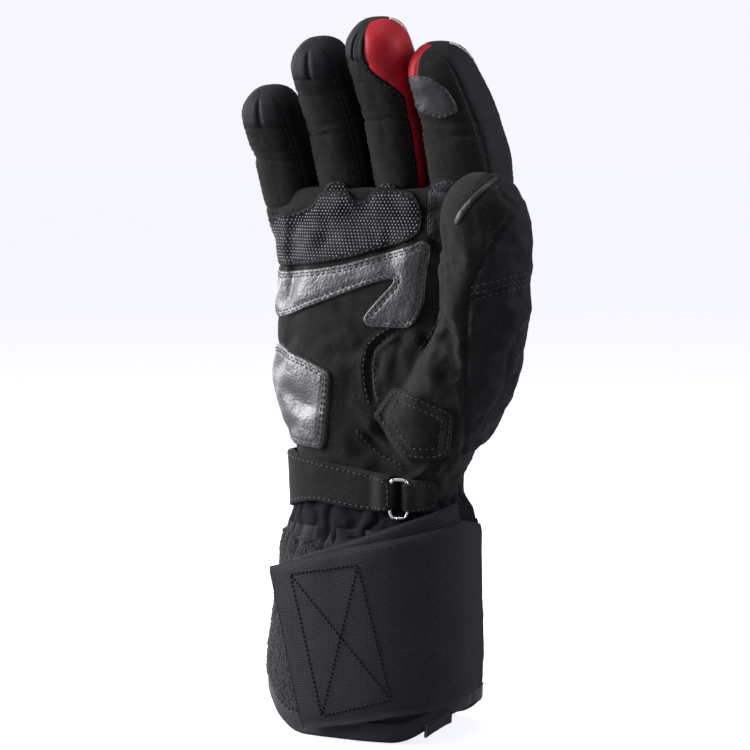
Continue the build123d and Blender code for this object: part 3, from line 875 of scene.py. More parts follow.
def mesh_arrays(obj):
    """A mesh object's points in millimetres and its triangles, after its modifiers."""
    bpy.context.view_layer.update()
    evaluated = obj.evaluated_get(bpy.context.evaluated_depsgraph_get())
    mesh = evaluated.to_mesh()
    points = np.zeros(len(mesh.vertices) * 3)
    mesh.vertices.foreach_get("co", points)
    mesh.calc_loop_triangles()
    triangles = np.zeros(len(mesh.loop_triangles) * 3, int)
    mesh.loop_triangles.foreach_get("vertices", triangles)
    evaluated.to_mesh_clear()
    return points.reshape(-1, 3) / MM, triangles.reshape(-1, 3)


def point_normals(points, triangles):
    a, b, c = (points[triangles[:, k]] for k in range(3))
    face = np.cross(b - a, c - a)
    total = np.zeros_like(points)
    for k in range(3):
        np.add.at(total, triangles[:, k], face)
    return unit(total)


def edges_of(triangles):
    edges = np.sort(np.vstack([triangles[:, [0, 1]], triangles[:, [1, 2]], triangles[:, [2, 0]]]), axis=1)
    return np.unique(edges, axis=0)


def relaxed(values, edges, passes, amount=0.5):
    """Averages values over a mesh's neighbours."""
    degree = np.zeros(len(values))
    np.add.at(degree, edges[:, 0], 1)
    np.add.at(degree, edges[:, 1], 1)
    degree = degree.reshape(-1, *([1] * (values.ndim - 1)))
    for _ in range(passes):
        total = np.zeros_like(values)
        np.add.at(total, edges[:, 0], values[edges[:, 1]])
        np.add.at(total, edges[:, 1], values[edges[:, 0]])
        values = values * (1 - amount) + total / degree * amount
    return values


def thumb_widths(s):
    """Half width across the thumb and half depth along its pad at a distance from its root joint."""
    return table([(-14, 17.5, 17.5), (0, 19.6, 20.0), (18, 19.6, 19.8), (34, 19.2, 19.2),
                  (50, 18.2, 17.8), (62, 16.2, 15.6), (73, 12.6, 11.6)], s)


def thumb_grid():
    turn = np.linspace(0, math.pi / 2, 12)
    straight = thumb_limb.length - THUMB_DOME
    s = np.concatenate([np.arange(-14, straight, 2.0), straight + THUMB_DOME * np.sin(turn)])
    close = np.concatenate([np.ones(len(s) - len(turn)), np.maximum(np.cos(turn), 0.02) ** 0.75])
    size = thumb_widths(s) * close[:, None]
    x, y = oval(ring_angles(64), 2.35)
    centre, side, back = thumb_limb.at(s)
    centre = centre + RIGHT * THUMB_DRIFT
    return (centre[:, None] + side[:, None] * (x * size[:, :1])[..., None]
            + back[:, None] * (y * size[:, 1:])[..., None])


def without(obj):
    """A helper object's final points and triangles; the object itself is taken away."""
    points, triangles = mesh_arrays(obj)
    made.pop(obj.name)
    bpy.data.objects.remove(obj)
    return points, triangles


def remeshed(points, faces, voxel):
    rough = piece("rough", points, faces, "suede")
    remesh = rough.modifiers.new("remesh", "REMESH")
    remesh.mode = "VOXEL"
    remesh.voxel_size = voxel * MM
    return without(rough)


def hand_body():
    """One smooth skin for the hand, the thumb's root and the thumb."""
    heights = np.concatenate([np.arange(90, HAND_TOP - 1, 3.0), [HAND_TOP]])
    parts = [closed_tube(tube_grid(HAND_SHAPE, heights, 96, 2.7)),
             closed_tube(tube_grid(THENAR_SHAPE, np.arange(106, 191, 3.0), 64, 2.2)),
             closed_tube(thumb_grid())]
    points, triangles = remeshed(*merge(parts), HAND_VOXEL)
    return relaxed(points, edges_of(triangles), 18, 0.6), triangles


hand_points, hand_triangles = hand_body()
CLOTH_VOXEL = 4.0
CLOTH_FRAMES = 18
CLOTH_SETTINGS = {
    "quality": 4, "mass": 0.15, "tension_stiffness": 25, "compression_stiffness": 25,
    "bending_stiffness": 0.6,
    "use_pressure": True, "uniform_pressure_force": 2.5, "shrink_min": -0.045, "vertex_group_mass": "held",
}
MOST_SWELL = 2.2


def swelling(points, triangles, held, at):
    """How far padded fabric moves at some points when it swells between its seams, by cloth simulation.
    held(points) is 1 at a seam and 0 on free fabric."""
    rest, coarse = remeshed(points, triangles, CLOTH_VOXEL)
    rest = relaxed(rest, edges_of(coarse), 3)
    cloth = piece("cloth", rest, coarse, "suede")
    group = cloth.vertex_groups.new(name="held")
    for index, weight in enumerate(np.clip(held(rest), 0, 1).tolist()):
        if weight > 0.01:
            group.add([index], weight, "REPLACE")
    simulation = cloth.modifiers.new("cloth", "CLOTH")
    for name, value in CLOTH_SETTINGS.items():
        setattr(simulation.settings, name, value)
    simulation.settings.effector_weights.gravity = 0
    simulation.point_cache.frame_end = CLOTH_FRAMES
    for frame_number in range(1, CLOTH_FRAMES + 1):
        bpy.context.scene.frame_set(frame_number)
    moved, _ = mesh_arrays(cloth)
    bpy.context.scene.frame_set(1)
    without(cloth)
    shift = moved - rest
    reach = np.linalg.norm(shift, axis=1, keepdims=True)
    shift *= np.minimum(1, MOST_SWELL / np.maximum(reach, 1e-6))
    return scattered(rest, shift, at)


def scattered(places, values, at, count=5):
    """Values known at scattered places, blended at other points."""
    tree = KDTree(len(places))
    for index, place in enumerate(places.tolist()):
        tree.insert(place, index)
    tree.balance()
    found = np.zeros((len(at), count), int)
    distance = np.zeros((len(at), count))
    for row, point in enumerate(at.tolist()):
        for k, (_, index, gap) in enumerate(tree.find_n(point, count)):
            found[row, k], distance[row, k] = index, gap
    weight = 1 / (distance + 0.8) ** 2
    return (values[found] * weight[..., None]).sum(1) / weight.sum(1)[:, None]


# Where the thumb's suede meets its softshell on the outer side, on the drawing plane: height, then distance
OUTER_SEAM = [(100, 38.5), (118, 40), (132, 41.9), (150, 42.4), (192, 42.8), (198, 43.3), (208.5, 46.6),
              (226, 55.9), (236, 62.8), (244, 68), (250, 74), (270, 90)]
INNER_SEAM = -112.0  # the same on the inner side, as an angle round the thumb from its pad


def thumb_frame(points):
    """Distance along the thumb's axis, distance from it and angle round it from its pad, in degrees."""
    lower = np.array([row[1:3] + (row[0],) for row in THENAR_SHAPE], float)[:-1]
    axis = np.vstack([lower, thumb_limb.line[::8]])
    run = run_along(axis)
    root = np.argmin(np.linalg.norm(axis - thumb_limb.first, axis=1))
    run -= run[root]
    best = np.full(len(points), 1e9)
    s = np.zeros(len(points))
    centre = np.zeros_like(points)
    along = np.zeros_like(points)
    for k in range(len(axis) - 1):
        d = axis[k + 1] - axis[k]
        length = np.linalg.norm(d)
        t = np.clip((points - axis[k]) @ d / length ** 2, 0, 1)
        near = axis[k] + t[:, None] * d
        gap = np.linalg.norm(points - near, axis=1)
        closer = gap < best
        best = np.where(closer, gap, best)
        s = np.where(closer, run[k] + t * length, s)
        centre = np.where(closer[:, None], near, centre)
        along = np.where(closer[:, None], d / length, along)
    pad = unit(PAD_SIDE - along * (along @ PAD_SIDE)[:, None])
    side = np.cross(along, pad)
    out = points - centre
    angle = np.degrees(np.arctan2((out * side).sum(1), (out * pad).sum(1)))
    return s, best, angle


def suede_field(points):
    """Millimetres inside the suede (negative on the softshell), share of the thumb, and the thumb's frame."""
    s, gap, angle = thumb_frame(points)
    u, v = seen(points)
    outer = np.interp(v, [r[0] for r in OUTER_SEAM], [r[1] for r in OUTER_SEAM]) - u
    on_thumb = np.minimum(outer, (angle - INNER_SEAM) * np.radians(np.clip(gap, 8, 30)))
    past_tip = smooth((s - thumb_limb.length + 10) / 8)
    on_thumb = on_thumb * (1 - past_tip) + past_tip * -((points - thumb_limb.line[-1]) @ -PAD_SIDE)
    on_hand = 3.0 - points[:, 1] - 5 * smooth((points[:, 2] - 205) / 30)
    x, y = points[:, 0], points[:, 1]
    lean = table(HAND_SHAPE, np.clip(points[:, 2], 88, 246))
    hand_gap = (np.hypot((x - lean[:, 0]) / lean[:, 2], (y - lean[:, 1]) / lean[:, 3]) - 1) * 22
    share = smooth((hand_gap + 2 - np.maximum(gap - 24, 0)) / 7)
    return np.stack([on_hand * (1 - share) + on_thumb * share, share, s, gap, angle], 1)


def split(points, triangles, field, extras):
    """Cuts triangles where the field crosses zero; returns points, extras and both sides' triangles."""
    positive = field > 0
    count = positive[triangles].sum(1)
    whole_in, whole_out = triangles[count == 3], triangles[count == 0]
    mixed = triangles[(count == 1) | (count == 2)]
    lone_sign = positive[mixed].sum(1) == 1
    lone = np.argmax(positive[mixed] == lone_sign[:, None], axis=1)
    rows = np.arange(len(mixed))
    a, b, c = (mixed[rows, (lone + k) % 3] for k in range(3))
    pairs = np.sort(np.vstack([np.stack([a, b], 1), np.stack([a, c], 1)]), axis=1)
    unique, where = np.unique(pairs, axis=0, return_inverse=True)
    where = where.reshape(-1)
    f0, f1 = field[unique[:, 0]], field[unique[:, 1]]
    t = np.clip(f0 / (f0 - f1), 0.02, 0.98)[:, None]
    blend = lambda values: np.vstack([values, values[unique[:, 0]] * (1 - t) + values[unique[:, 1]] * t])
    ab, ac = where[: len(mixed)] + len(points), where[len(mixed):] + len(points)
    tips = np.stack([a, ab, ac], 1)
    rest = np.vstack([np.stack([ab, b, c], 1), np.stack([ab, c, ac], 1)])
    rest_sign = np.concatenate([lone_sign, lone_sign])
    inner = np.vstack([whole_in, tips[lone_sign], rest[~rest_sign]])
    outer = np.vstack([whole_out, tips[~lone_sign], rest[rest_sign]])
    return blend(points), [blend(e) for e in extras], inner, outer


def used(points, triangles, *values):
    """Only the points that the triangles use."""
    keep, remapped = np.unique(triangles, return_inverse=True)
    return (points[keep], remapped.reshape(-1, 3), *[v[keep] for v in values])


# Seams and folds pressed into the palm: outline on the drawing plane, depth, width
PALM_FOLDS = [
    ([(12, 184), (4, 179), (-1.5, 174.5), (-3.3, 166), (-2.3, 155), (0, 148)], 1.5, 1.3),
    ([(17, 187), (13, 180), (10, 172), (9, 163), (10, 157)], 0.9, 2.6),
    ([(20, 184), (26, 176), (33, 170), (41, 166)], 1.0, 2.2),
    ([(24, 177), (30, 165), (35, 158)], 0.7, 2.6),
    ([(-7.5, 138), (-2, 132), (5, 126), (18, 118.5)], 1.1, 1.5),
    ([(-2, 144), (4, 137), (9, 128), (13, 121)], 0.6, 2.0),
    ([(-17, 170), (-12, 162), (-14, 150), (-12, 138)], 0.5, 3.0),
    ([(-21, 196), (-10, 190), (-6, 183)], 0.5, 2.5),
]
# Stitched seams on the thumb's outer side
OUTER_LINES = [
    ([(43.5, 197), (57, 201), (71.5, 205)], 0.7, 1.0),
    ([(43.2, 191.5), (57, 195.5), (71.2, 199.5)], 0.7, 1.0),
    ([(70.5, 186), (65, 178.5), (62.2, 172), (60, 156), (55.5, 146), (50, 138)], 0.7, 1.1),
]


def seam_hold(points):
    """Where the swelling of the padding is held down: seams, the wrist and the finger roots."""
    fields = suede_field(points)
    u, v = seen(points)
    hold = bell(fields[:, 0], 3.0)
    for line, _, width in PALM_FOLDS[:1] + OUTER_LINES:
        hold = np.maximum(hold, 0.8 * bell(gap_to(line, u, v)[0], 3))
    hold = np.maximum(hold, smooth((118 - points[:, 2]) / 6))
    return np.maximum(hold, smooth((points[:, 2] - 236) / 6) * (fields[:, 1] < 0.5))


def shape_hand(points, triangles):
    """The hand's points after swelling, with seams and folds pressed in, and what divides its skin there."""
    points = points + swelling(points, triangles, seam_hold, points)
    points = relaxed(points, edges_of(triangles), 2)
    normals = point_normals(points, triangles)
    fields = suede_field(points)
    u, v = seen(points)
    facing = smooth((normals @ TOWARD) / 0.35)
    height = 0.45 * wave(points * np.array([1, 1, 0.7]), 20, 3, 4)
    height += 0.22 * wave(points, 6, 5, 3)
    pucker = 0.5 + 0.5 * np.sin(points[:, 2] * 2.0 + wave(points, 10, 8) * 5)
    height -= 0.9 * bell(fields[:, 0], 1.15)
    height += 0.35 * pucker * bell(np.abs(fields[:, 0]) - 2.6, 1.6)
    wobble = wave(points, 9, 12) * 1.2
    for line, depth, width in PALM_FOLDS:
        distance, along = gap_to(line, u, v)
        total = gap_to(line, *np.array(line[-1], float))[1]
        fade = facing * depth * smooth(along / 6) * smooth((total - along) / 6 + 0.15)
        height -= fade * bell(distance + wobble * (width > 2), width)
        height += fade * 0.55 * bell(distance - width * 2.2, width * 1.1)
    for line, depth, width in OUTER_LINES:
        height -= facing * (fields[:, 0] < 0.5) * depth * bell(gap_to(line, u, v)[0], width)
    for place, depth in ((thumb_limb.base + 1, 1.1), (thumb_limb.base - 5, 0.7), (1, 0.9), (8, 0.6)):
        fold = bell(fields[:, 2] - place - wave(points, 12, 21) * 2.5, 1.7)
        height -= depth * fold * fields[:, 1] * smooth((70 - np.abs(fields[:, 4])) / 40)
    height += 0.5 * bell(points[:, 2] - HAND_HEM, 2.2)
    return points + normals * height[:, None], fields


HAND_HEM = 109.0
hand_points, hand_fields_at = shape_hand(hand_points, hand_triangles)
hand_normals = point_normals(hand_points, hand_triangles)
hand_tree = tree_of(hand_points, hand_triangles.tolist())
finger_trees = {name: grid_tree(skin.P) for name, (skin, _, _) in finger_skins.items()}
THUMB_REACH = 26.0  # how far from its axis the thumb's own pieces go
THUMB_START = -10.0  # where they begin along its axis, from its root joint


def clad_hand():
    """Cuts the hand's skin into its suede and softshell pieces, the thumb's in a lower and an upper part."""
    points, normals, fields, triangles = hand_points, hand_normals, hand_fields_at, hand_triangles
    s, gap = fields[:, 2], fields[:, 3]
    on_thumb = np.minimum(s - THUMB_START, (THUMB_REACH - gap) * 1.5)
    layers = np.column_stack([fields[:, 0], on_thumb, s - thumb_limb.base * 0.5, points[:, 2] - HAND_HEM])
    points, (normals, layers), above, _ = split(points, triangles, layers[:, 3], [normals, layers])
    points, (normals, layers), thumb, palm = split(points, above, layers[:, 1], [normals, layers])
    points, (normals, layers), high, low = split(points, thumb, layers[:, 2], [normals, layers])
    for names, group, place in (
            (("palm_panel", "hand_back_panel"), palm, lambda obj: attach(obj, "hand")),
            (("thumb_base_palm_panel", "thumb_base_outer_panel"), low, thumb_limb.blend_lower),
            (("thumb_tip_palm_panel", "thumb_tip_outer_panel"), high, thumb_limb.blend_upper)):
        cut_points, (cut_normals,), *halves = split(points, group, layers[:, 0], [normals])
        for name, look, half in zip(names, ("suede", "softshell"), halves):
            p, t, n = used(cut_points, half, cut_normals)
            obj = piece(name, p, t, look, shading=unit(n))
            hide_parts(name)
            place(obj)


clad_hand()

# ---------------------------------------------------------------- patches sewn on the hand
FLAT = 24.0  # half width of the hand's flat front and back, between its round sides
BEND = 24.0  # nominal radius of the round sides
OUTSIDE = 75.0  # how far from the hand's middle its rays start


def centre_at(z):
    rows = table(HAND_SHAPE, np.clip(z, 88, 246))
    return rows[..., 0], rows[..., 1]


def unrolled(points):
    """Distance round the hand from its palm's middle, negative on the little finger's side, and height."""
    x0, y0 = centre_at(points[:, 2])
    x, y = points[:, 0] - x0, points[:, 1] - y0
    past = np.arctan2(np.maximum(np.abs(x) - FLAT, 0), -y)
    behind = FLAT + BEND * math.pi + FLAT - np.abs(x)
    s = np.where(np.abs(x) > FLAT, FLAT + BEND * past, np.where(y > 0, behind, np.abs(x)))
    return np.stack([np.sign(x) * s, points[:, 2]], 1)


def round_rays(flat):
    """Where rays start outside the hand and which way they go, for unrolled places."""
    s, z = flat[:, 0], flat[:, 1]
    x0, y0 = centre_at(z)
    side = np.sign(s)
    turn = np.clip((np.abs(s) - FLAT) / BEND, 0, math.pi)
    back = np.maximum(np.abs(s) - FLAT - BEND * math.pi, 0)
    out = np.stack([side * np.sin(turn), -np.cos(turn), np.zeros(len(s))], 1)
    middle = np.stack([x0 + side * (np.minimum(np.abs(s), FLAT) - back), y0, z], 1)
    return middle + out * OUTSIDE, -out


def eye_rays(flat):
    target = flat[:, :1] * RIGHT + flat[:, 1:] * UP
    return np.repeat(EYE[None], len(flat), 0), unit(target - EYE)


def cast(rays, flat, tree):
    """Points and normals where rays meet a skin; a ray that misses takes the nearest skin."""
    starts, ways = rays(np.asarray(flat, float).reshape(-1, 2))
    points, normals = np.zeros_like(starts), np.zeros_like(starts)
    for k, (start, way) in enumerate(zip(starts.tolist(), ways.tolist())):
        hit = tree.ray_cast(Vector(start), Vector(way))
        if hit[0] is None:
            reach = CAMERA_DISTANCE if rays is eye_rays else OUTSIDE
            hit = tree.find_nearest(Vector(start) + Vector(way) * reach)
        points[k], normals[k] = hit[0], hit[1]
    return points, normals


def traced(outline, tree=hand_tree):
    """An outline in unrolled places, from points on the drawing plane and (side, s, z) rows."""
    seen_ones = [row for row in outline if len(row) == 2]
    flat = unrolled(cast(eye_rays, seen_ones, tree)[0])
    places = iter(flat.tolist())
    return [tuple(next(places)) if len(row) == 2 else row[1:] for row in outline]


def filled(outline, spacing):
    """Points and triangles that fill an outline; its own points come first."""
    low, high = outline.min(0), outline.max(0)
    after, before = np.roll(outline, -1, axis=0), np.roll(outline, 1, axis=0)
    along = unit(after - before)
    area = (outline[:, 0] * after[:, 1] - after[:, 0] * outline[:, 1]).sum()
    inward = np.stack([-along[:, 1], along[:, 0]], 1) * np.sign(area)
    groups = [outline]
    for offset in (0.35, 0.8):
        ring = outline + inward * offset
        groups.append(well_inside(outline, ring, offset * 0.93))
    rows = []
    for k, y in enumerate(np.arange(low[1], high[1], spacing * 0.87)):
        x = np.arange(low[0] + (k % 2) * spacing / 2, high[0], spacing)
        rows.append(np.stack([x, np.full(len(x), y)], 1))
    groups.append(well_inside(outline, np.vstack(rows), 1.2))
    points = np.vstack(groups)
    loop = [(k, (k + 1) % len(outline)) for k in range(len(outline))]
    result = geometry.delaunay_2d_cdt([Vector(p) for p in points.tolist()], loop, [], 1, 1e-5)
    places = np.array([tuple(v) for v in result[0]])
    triangles = np.array([f for f in result[2] if len(f) == 3])
    a, b, c = (places[triangles[:, k]] for k in range(3))
    turn = (b[:, 0] - a[:, 0]) * (c[:, 1] - a[:, 1]) - (b[:, 1] - a[:, 1]) * (c[:, 0] - a[:, 0])
    triangles[turn < 0] = triangles[turn < 0][:, ::-1]
    return places, triangles, inward


class Patch:
    """A layer sewn on a skin: its outline, its filled mesh and its height over the skin."""

    def __init__(self, outline, rays, tree, lift=1.1, corner=1.3, spacing=1.1, passes=2, relief=None,
                 soften=5):
        self.rays = rays
        self.outline = rounded(outline, step=0.8, passes=passes)
        flat, self.triangles, self.inward = filled(self.outline, spacing)
        self.flat = flat
        base, normals = cast(rays, flat, tree)
        edges = edges_of(self.triangles)
        starts, ways = rays(flat)
        reach = ((base - starts) * ways).sum(1)
        softer = np.minimum(relaxed(reach, edges, soften), reach + 0.25)
        base = base + ways * (softer - reach)[:, None]
        normals = unit(relaxed(point_normals(base, self.triangles), edges, 4))
        self.gap = gap_to(self.outline, flat[:, 0], flat[:, 1], closed=True)[0]
        edge = 1 - np.clip(self.gap / corner, 0, 1)
        height = lift * np.sqrt(np.maximum(1 - edge ** 2, 0))
        if relief:
            height = height + relief(base, self.gap, flat) * smooth(self.gap / 1.5)
        self.points = base + normals * height[:, None]
        self.normals = normals

    def build(self, name, look):
        """The piece, with a skirt that closes its edge on the skin."""
        count = len(self.outline)
        points, triangles = self.points, self.triangles.tolist()
        shading = point_normals(points, self.triangles)
        order = [int(np.argmin(np.hypot(*(self.flat - p).T))) for p in self.outline]
        first = len(points)
        points = np.vstack([points, points[order] - self.normals[order] * 1.6])
        x, y = self.outline.T
        clockwise = (x * np.roll(y, -1) - np.roll(x, -1) * y).sum() < 0
        for k in range(count):
            after = (k + 1) % count
            face = (order[k], first + k, first + after, order[after])
            triangles.append(face[::-1] if clockwise else face)
        return piece(name, points, triangles, look, shading=np.vstack([shading, shading[order]]))

    def rail(self, offset, lift=0.05):
        """A path on the patch, a constant distance inside its outline."""
        line = well_inside(self.outline, self.outline + self.inward * offset, offset * 0.9)
        return self.on_top(np.vstack([line, line[:1]]), lift)

    def on_top(self, line, lift=0.05):
        tree = BVHTree.FromPolygons(self.points.tolist(), self.triangles.tolist())
        points, normals = cast(self.rays, line, tree)
        return points + normals * lift, normals


def pressed(offset, depth=0.4, width=0.7):
    """A groove that a row of stitches pulls in, as far inside the outline as they are."""
    return lambda points, gap, flat: -depth * bell(gap - offset, width)


def crumpled(size, depth, seed, offsets=(1.6,)):
    """Soft leather: broad folds, sharp creases and sunk stitching."""
    def relief(points, gap, flat):
        broad = wave(points, size, seed, 3)
        sharp = 1 - np.abs(wave(points, size * 0.55, seed + 3, 3)) * 5
        height = depth * (0.7 * broad - 0.35 * np.maximum(sharp, 0) ** 2)
        for offset in offsets:
            height = height + pressed(offset)(points, gap, flat)
        return height + 0.2 * depth * wave(points, 3.2, seed + 5, 2)
    return relief


def on_hand(obj):
    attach(obj, "hand")


def sew(patch, name, look, rows=(), thread=None, nodes=(), place=on_hand):
    """Builds a patch and its rows of stitches, which run at the given distances inside its outline."""
    obj = patch.build(name, look)
    place(obj)
    if nodes:
        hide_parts(*nodes)
    if rows:
        place(piece(thread, *merge([stitches(*patch.rail(row)) for row in rows]), "thread"))


# Synthetic grip across the roots of the fingers
GRIP = [("side", -58, 236), ("side", -57, 220), (-47.5, 221), (-43.5, 212.4), (-29.3, 213.2), (-14.9, 215.2),
        (7.4, 221.2), (16.3, 224.2), (21.5, 228.5), (22, 240), (18, 247.5), (8, 248.8), (0, 248.2), (-4, 243.5),
        (-8.5, 243.5), (-12, 248), (-19, 248.5), (-25, 247.6), (-28.5, 241.5), (-34.9, 238.5), (-42.8, 237)]
grip = Patch(traced(GRIP), round_rays, lift=1.3, tree=hand_tree,
             relief=lambda p, gap, flat: 0.75 * wave(p * np.array([1, 1, 0.6]), 12, 31)
             + pressed(1.5)(p, gap, flat))
sew(grip, "dotted_grip_panel", "dotted_grip", nodes=["grip_panel"])
LOBES = {
    "ring": [(-27, 231), (-27.2, 243.4), (-21.2, 252.2), (-14, 252.4), (-9.8, 246.2), (-9.6, 231)],
    "middle": [(-2.4, 231), (-2.3, 246.5), (3.5, 252), (9, 251.4), (15.8, 244.5), (20.5, 236), (19.5, 231)],
}
lobes = {finger: Patch(outline, eye_rays, lift=1.0, tree=finger_trees[finger],
                       relief=lambda p, gap, flat: 0.3 * wave(p, 8, 33)) for finger, outline in LOBES.items()}
DOT_PITCH = 1.65


def grip_dots(patch, edge=2.4):
    """Small domes printed on the grip, row by row."""
    low, high = patch.outline.min(0), patch.outline.max(0)
    places = []
    for k, y in enumerate(np.arange(low[1], high[1], DOT_PITCH * 0.87)):
        for x in np.arange(low[0] + (k % 2) * DOT_PITCH / 2, high[0], DOT_PITCH):
            places.append((x, y))
    points, normals = patch.on_top(well_inside(patch.outline, np.array(places), edge), 0)
    side = unit(np.cross(normals, UP))
    rise = np.cross(side, normals)
    dots, faces = [], []
    for k in range(len(points)):
        first = len(dots)
        for radius, lift in ((0.44, -0.1), (0.36, 0.2)):
            for a in np.arange(6) * math.pi / 3:
                way = side[k] * math.cos(a) + rise[k] * math.sin(a)
                dots.append(points[k] + way * radius + normals[k] * lift)
        dots.append(points[k] + normals[k] * 0.3)
        for i in range(6):
            j = (i + 1) % 6
            faces.append((first + j, first + i, first + 6 + i, first + 6 + j))
            faces.append((first + 6 + j, first + 6 + i, first + 12))
        faces.append(tuple(first + i for i in range(6)))
    return np.array(dots), faces


on_hand(piece("grip_dots", *grip_dots(grip), "grip_dots"))
on_hand(piece("grip_stitching", *stitches(*grip.rail(1.5)), "thread"))
for finger, lobe in lobes.items():
    limb = finger_skins[finger][1]
    sew(lobe, f"{finger}_grip_lobe", "dotted_grip", place=limb.blend_lower)
    limb.blend_lower(piece(f"{finger}_lobe_dots", *grip_dots(lobe, 1.6), "grip_dots"))
    limb.blend_lower(piece(f"{finger}_lobe_stitching", *stitches(*lobe.rail(0.9)), "thread"))

# Glossy leather across the palm, with its zigzag lower edge
LEATHER = [("side", -59, 219), ("side", -59, 196), (-44, 187), (12.6, 209.2), (-6.1, 188.5), (-3.3, 184.3),
           (15.4, 183.4), (19, 186), (23, 195), ("side", 34, 204), ("side", 35, 223), (22.3, 225), (16.3, 222),
           (7.4, 219.5), (-14.9, 213.4), (-29.3, 211.4), (-43.8, 210.2)]
leather = Patch(traced(LEATHER), round_rays, lift=1.5, tree=hand_tree, passes=2,
                spacing=0.85, relief=crumpled(15, 0.3, 41, (1.5, 3.0)))
sew(leather, "leather_overlay", "gloss_leather", [1.5, 3.0], "leather_stitching", ["palm_leather_overlay"])
WEB = [(24.2, 226.4), (24.4, 238), (25.2, 250.5), (34, 253.2), (45, 252.3), (47, 246), (42, 238), (38, 228),
       (33, 221)]
on_thumb = np.minimum(hand_fields_at[:, 2] - THUMB_START, THUMB_REACH - hand_fields_at[:, 3]) > 0
index_skin, index_limb, _ = finger_skins["index"]
behind_thumb = tree_of(*merge([
    (hand_points, hand_triangles[~on_thumb[hand_triangles].any(axis=1)].tolist()),
    (index_skin.P.reshape(-1, 3), grid_faces(*index_skin.P.shape[:2], True))]))
web = Patch(WEB, eye_rays, lift=1.3, spacing=0.85, tree=behind_thumb, relief=crumpled(9, 0.4, 43, (1.4,)))
sew(web, "web_patch", "worn_leather", [1.4], "web_stitching", ["thumb_web_patch"])
HEEL = [("side", -66, 176), ("side", -55, 176.5), (-42.8, 176.8), (-32.1, 170.3), (-20.9, 163.8), (-20, 160.6),
        (-21.4, 145.7), (-23.3, 126.8), (-31.2, 128.6), (-39.1, 131.4), ("side", -54, 134), ("side", -66, 134)]
heel = Patch(traced(HEEL), round_rays, lift=2.6, corner=2.6, tree=hand_tree, passes=2,
             spacing=0.85, relief=crumpled(16, 0.3, 47, (2.0, 3.4)))
sew(heel, "heel_patch", "gloss_leather", [2.0, 3.4], "heel_stitching", ["heel_leather_patch"])
THENAR = [(8.8, 156.8), (23.3, 150.8), (35.2, 145.7), (37.2, 143), (36.3, 137), (34.9, 125.3), (30, 122.5),
          (24.7, 121.7), (14.4, 122.6), (7.9, 130.3), (2.8, 138.7), (-1.2, 143), (4.2, 150.4)]
thenar = Patch(THENAR, eye_rays, lift=2.6, corner=3.0, tree=hand_tree, passes=3,
               relief=lambda p, gap, flat: 0.35 * wave(p, 14, 51) - 0.55 * bell(gap - 5.5, 1.1)
               + 0.7 * smooth((gap - 6) / 5))
sew(thenar, "thenar_padding", "suede", [1.8, 5.5], "thenar_stitching", ["thenar_pad"])
TOUCH = [(12.1, 299.5), (19, 301.5), (26, 300.5), (33, 295.8), (37.5, 289), (38.6, 283.9), (30.7, 280.7),
         (19.6, 284.8)]
touch = Patch(TOUCH, eye_rays, lift=0.7, corner=0.8, tree=finger_trees["index"],
              relief=lambda p, gap, flat: 0.15 * wave(p, 7, 61))
sew(touch, "touch_patch", "touch_leather", [1.0], "touch_stitching", ["index_touch_patch"],
    index_limb.blend_upper)
WIPER = [(36.8, 232.5), (38.8, 231.2), (42.2, 237.6), (47.8, 244.6), (54.5, 250.6), (57.5, 253.4), (55.5, 254.2),
         (48.5, 248.6), (41.8, 241.6), (38.4, 237.2)]
wiper = Patch(WIPER, eye_rays, lift=1.1, corner=1.0, tree=hand_tree)
sew(wiper, "wiper_edge", "wiper_rubber", nodes=["thumb_wiper_blade"], place=thumb_limb.blend_upper)
SLIDER = [("side", -72, 139), ("side", -52.5, 140.5), ("side", -51.5, 159.5), ("side", -72, 161)]
slider = Patch(traced(SLIDER), round_rays, lift=5.2, corner=4.5, tree=hand_tree, passes=3,
               relief=lambda p, gap, flat: -1.5 * np.exp(-(((flat[:, 0] + 58) / 1.6) ** 2)
                                                         - np.maximum(np.abs(flat[:, 1] - 150.5) - 5, 0) ** 2))
sew(slider, "slider", "slider_plastic", nodes=["heel_slider"])
KNUCKLE_PAD = [("side", s, z) for s, z in
               ((-100, 222), (-124, 226), (-150, 228), (-155, 240), (-124, 243), (-98, 236))]
knuckle_pad = Patch(traced(KNUCKLE_PAD), round_rays, lift=3.0, corner=3.2, tree=hand_tree, passes=3,
                    spacing=1.5, relief=lambda p, gap, flat: 0.8 * smooth((gap - 5) / 4)
                    - 0.6 * bell(gap - 4.4, 1.0)
                    - 0.5 * (1 - np.abs(np.sin(flat[:, 0] * math.pi / 13))) ** 4)
sew(knuckle_pad, "knuckle_padding", "softshell", [1.6, 4.4], "knuckle_stitching")


def seam_rows(name, rows):
    """Rows of stitches that follow lines on the drawing plane."""
    parts = []
    for line in rows:
        points, normals = cast(eye_rays, rounded(line, closed=False), hand_tree)
        parts.append(stitches(points + normals * 0.05, normals))
    return piece(name, *merge(parts), "thread")


on_hand(seam_rows("palm_stitching", [
    [(14, 184), (6, 179.6), (0.8, 174), (-0.9, 166), (0, 155), (2, 149)],
    [(10, 185.6), (2, 181.2), (-4, 175.6), (-5.8, 166), (-4.7, 155), (-2.4, 147)],
    [(30.5, 190), (25.5, 180), (19, 172)],
    [(-9, 136.4), (-3.5, 130), (3.5, 124.2), (15, 118.8)],
]))
OUTER_ROWS = [
    [(44, 202.4), (57, 206), (71, 209.6)],
    [(44, 199.2), (57, 202.8), (71, 206.6)],
    [(43.8, 196.4), (57, 200), (70.8, 203.6)],
]
thumb_limb.blend_lower(seam_rows("thumb_band_stitching", OUTER_ROWS))
SIDE_ROW = [(69.5, 187), (64.5, 179), (61.6, 172), (59.4, 156), (55, 146), (50, 138)]
on_hand(seam_rows("thumb_side_stitching", [SIDE_ROW]))

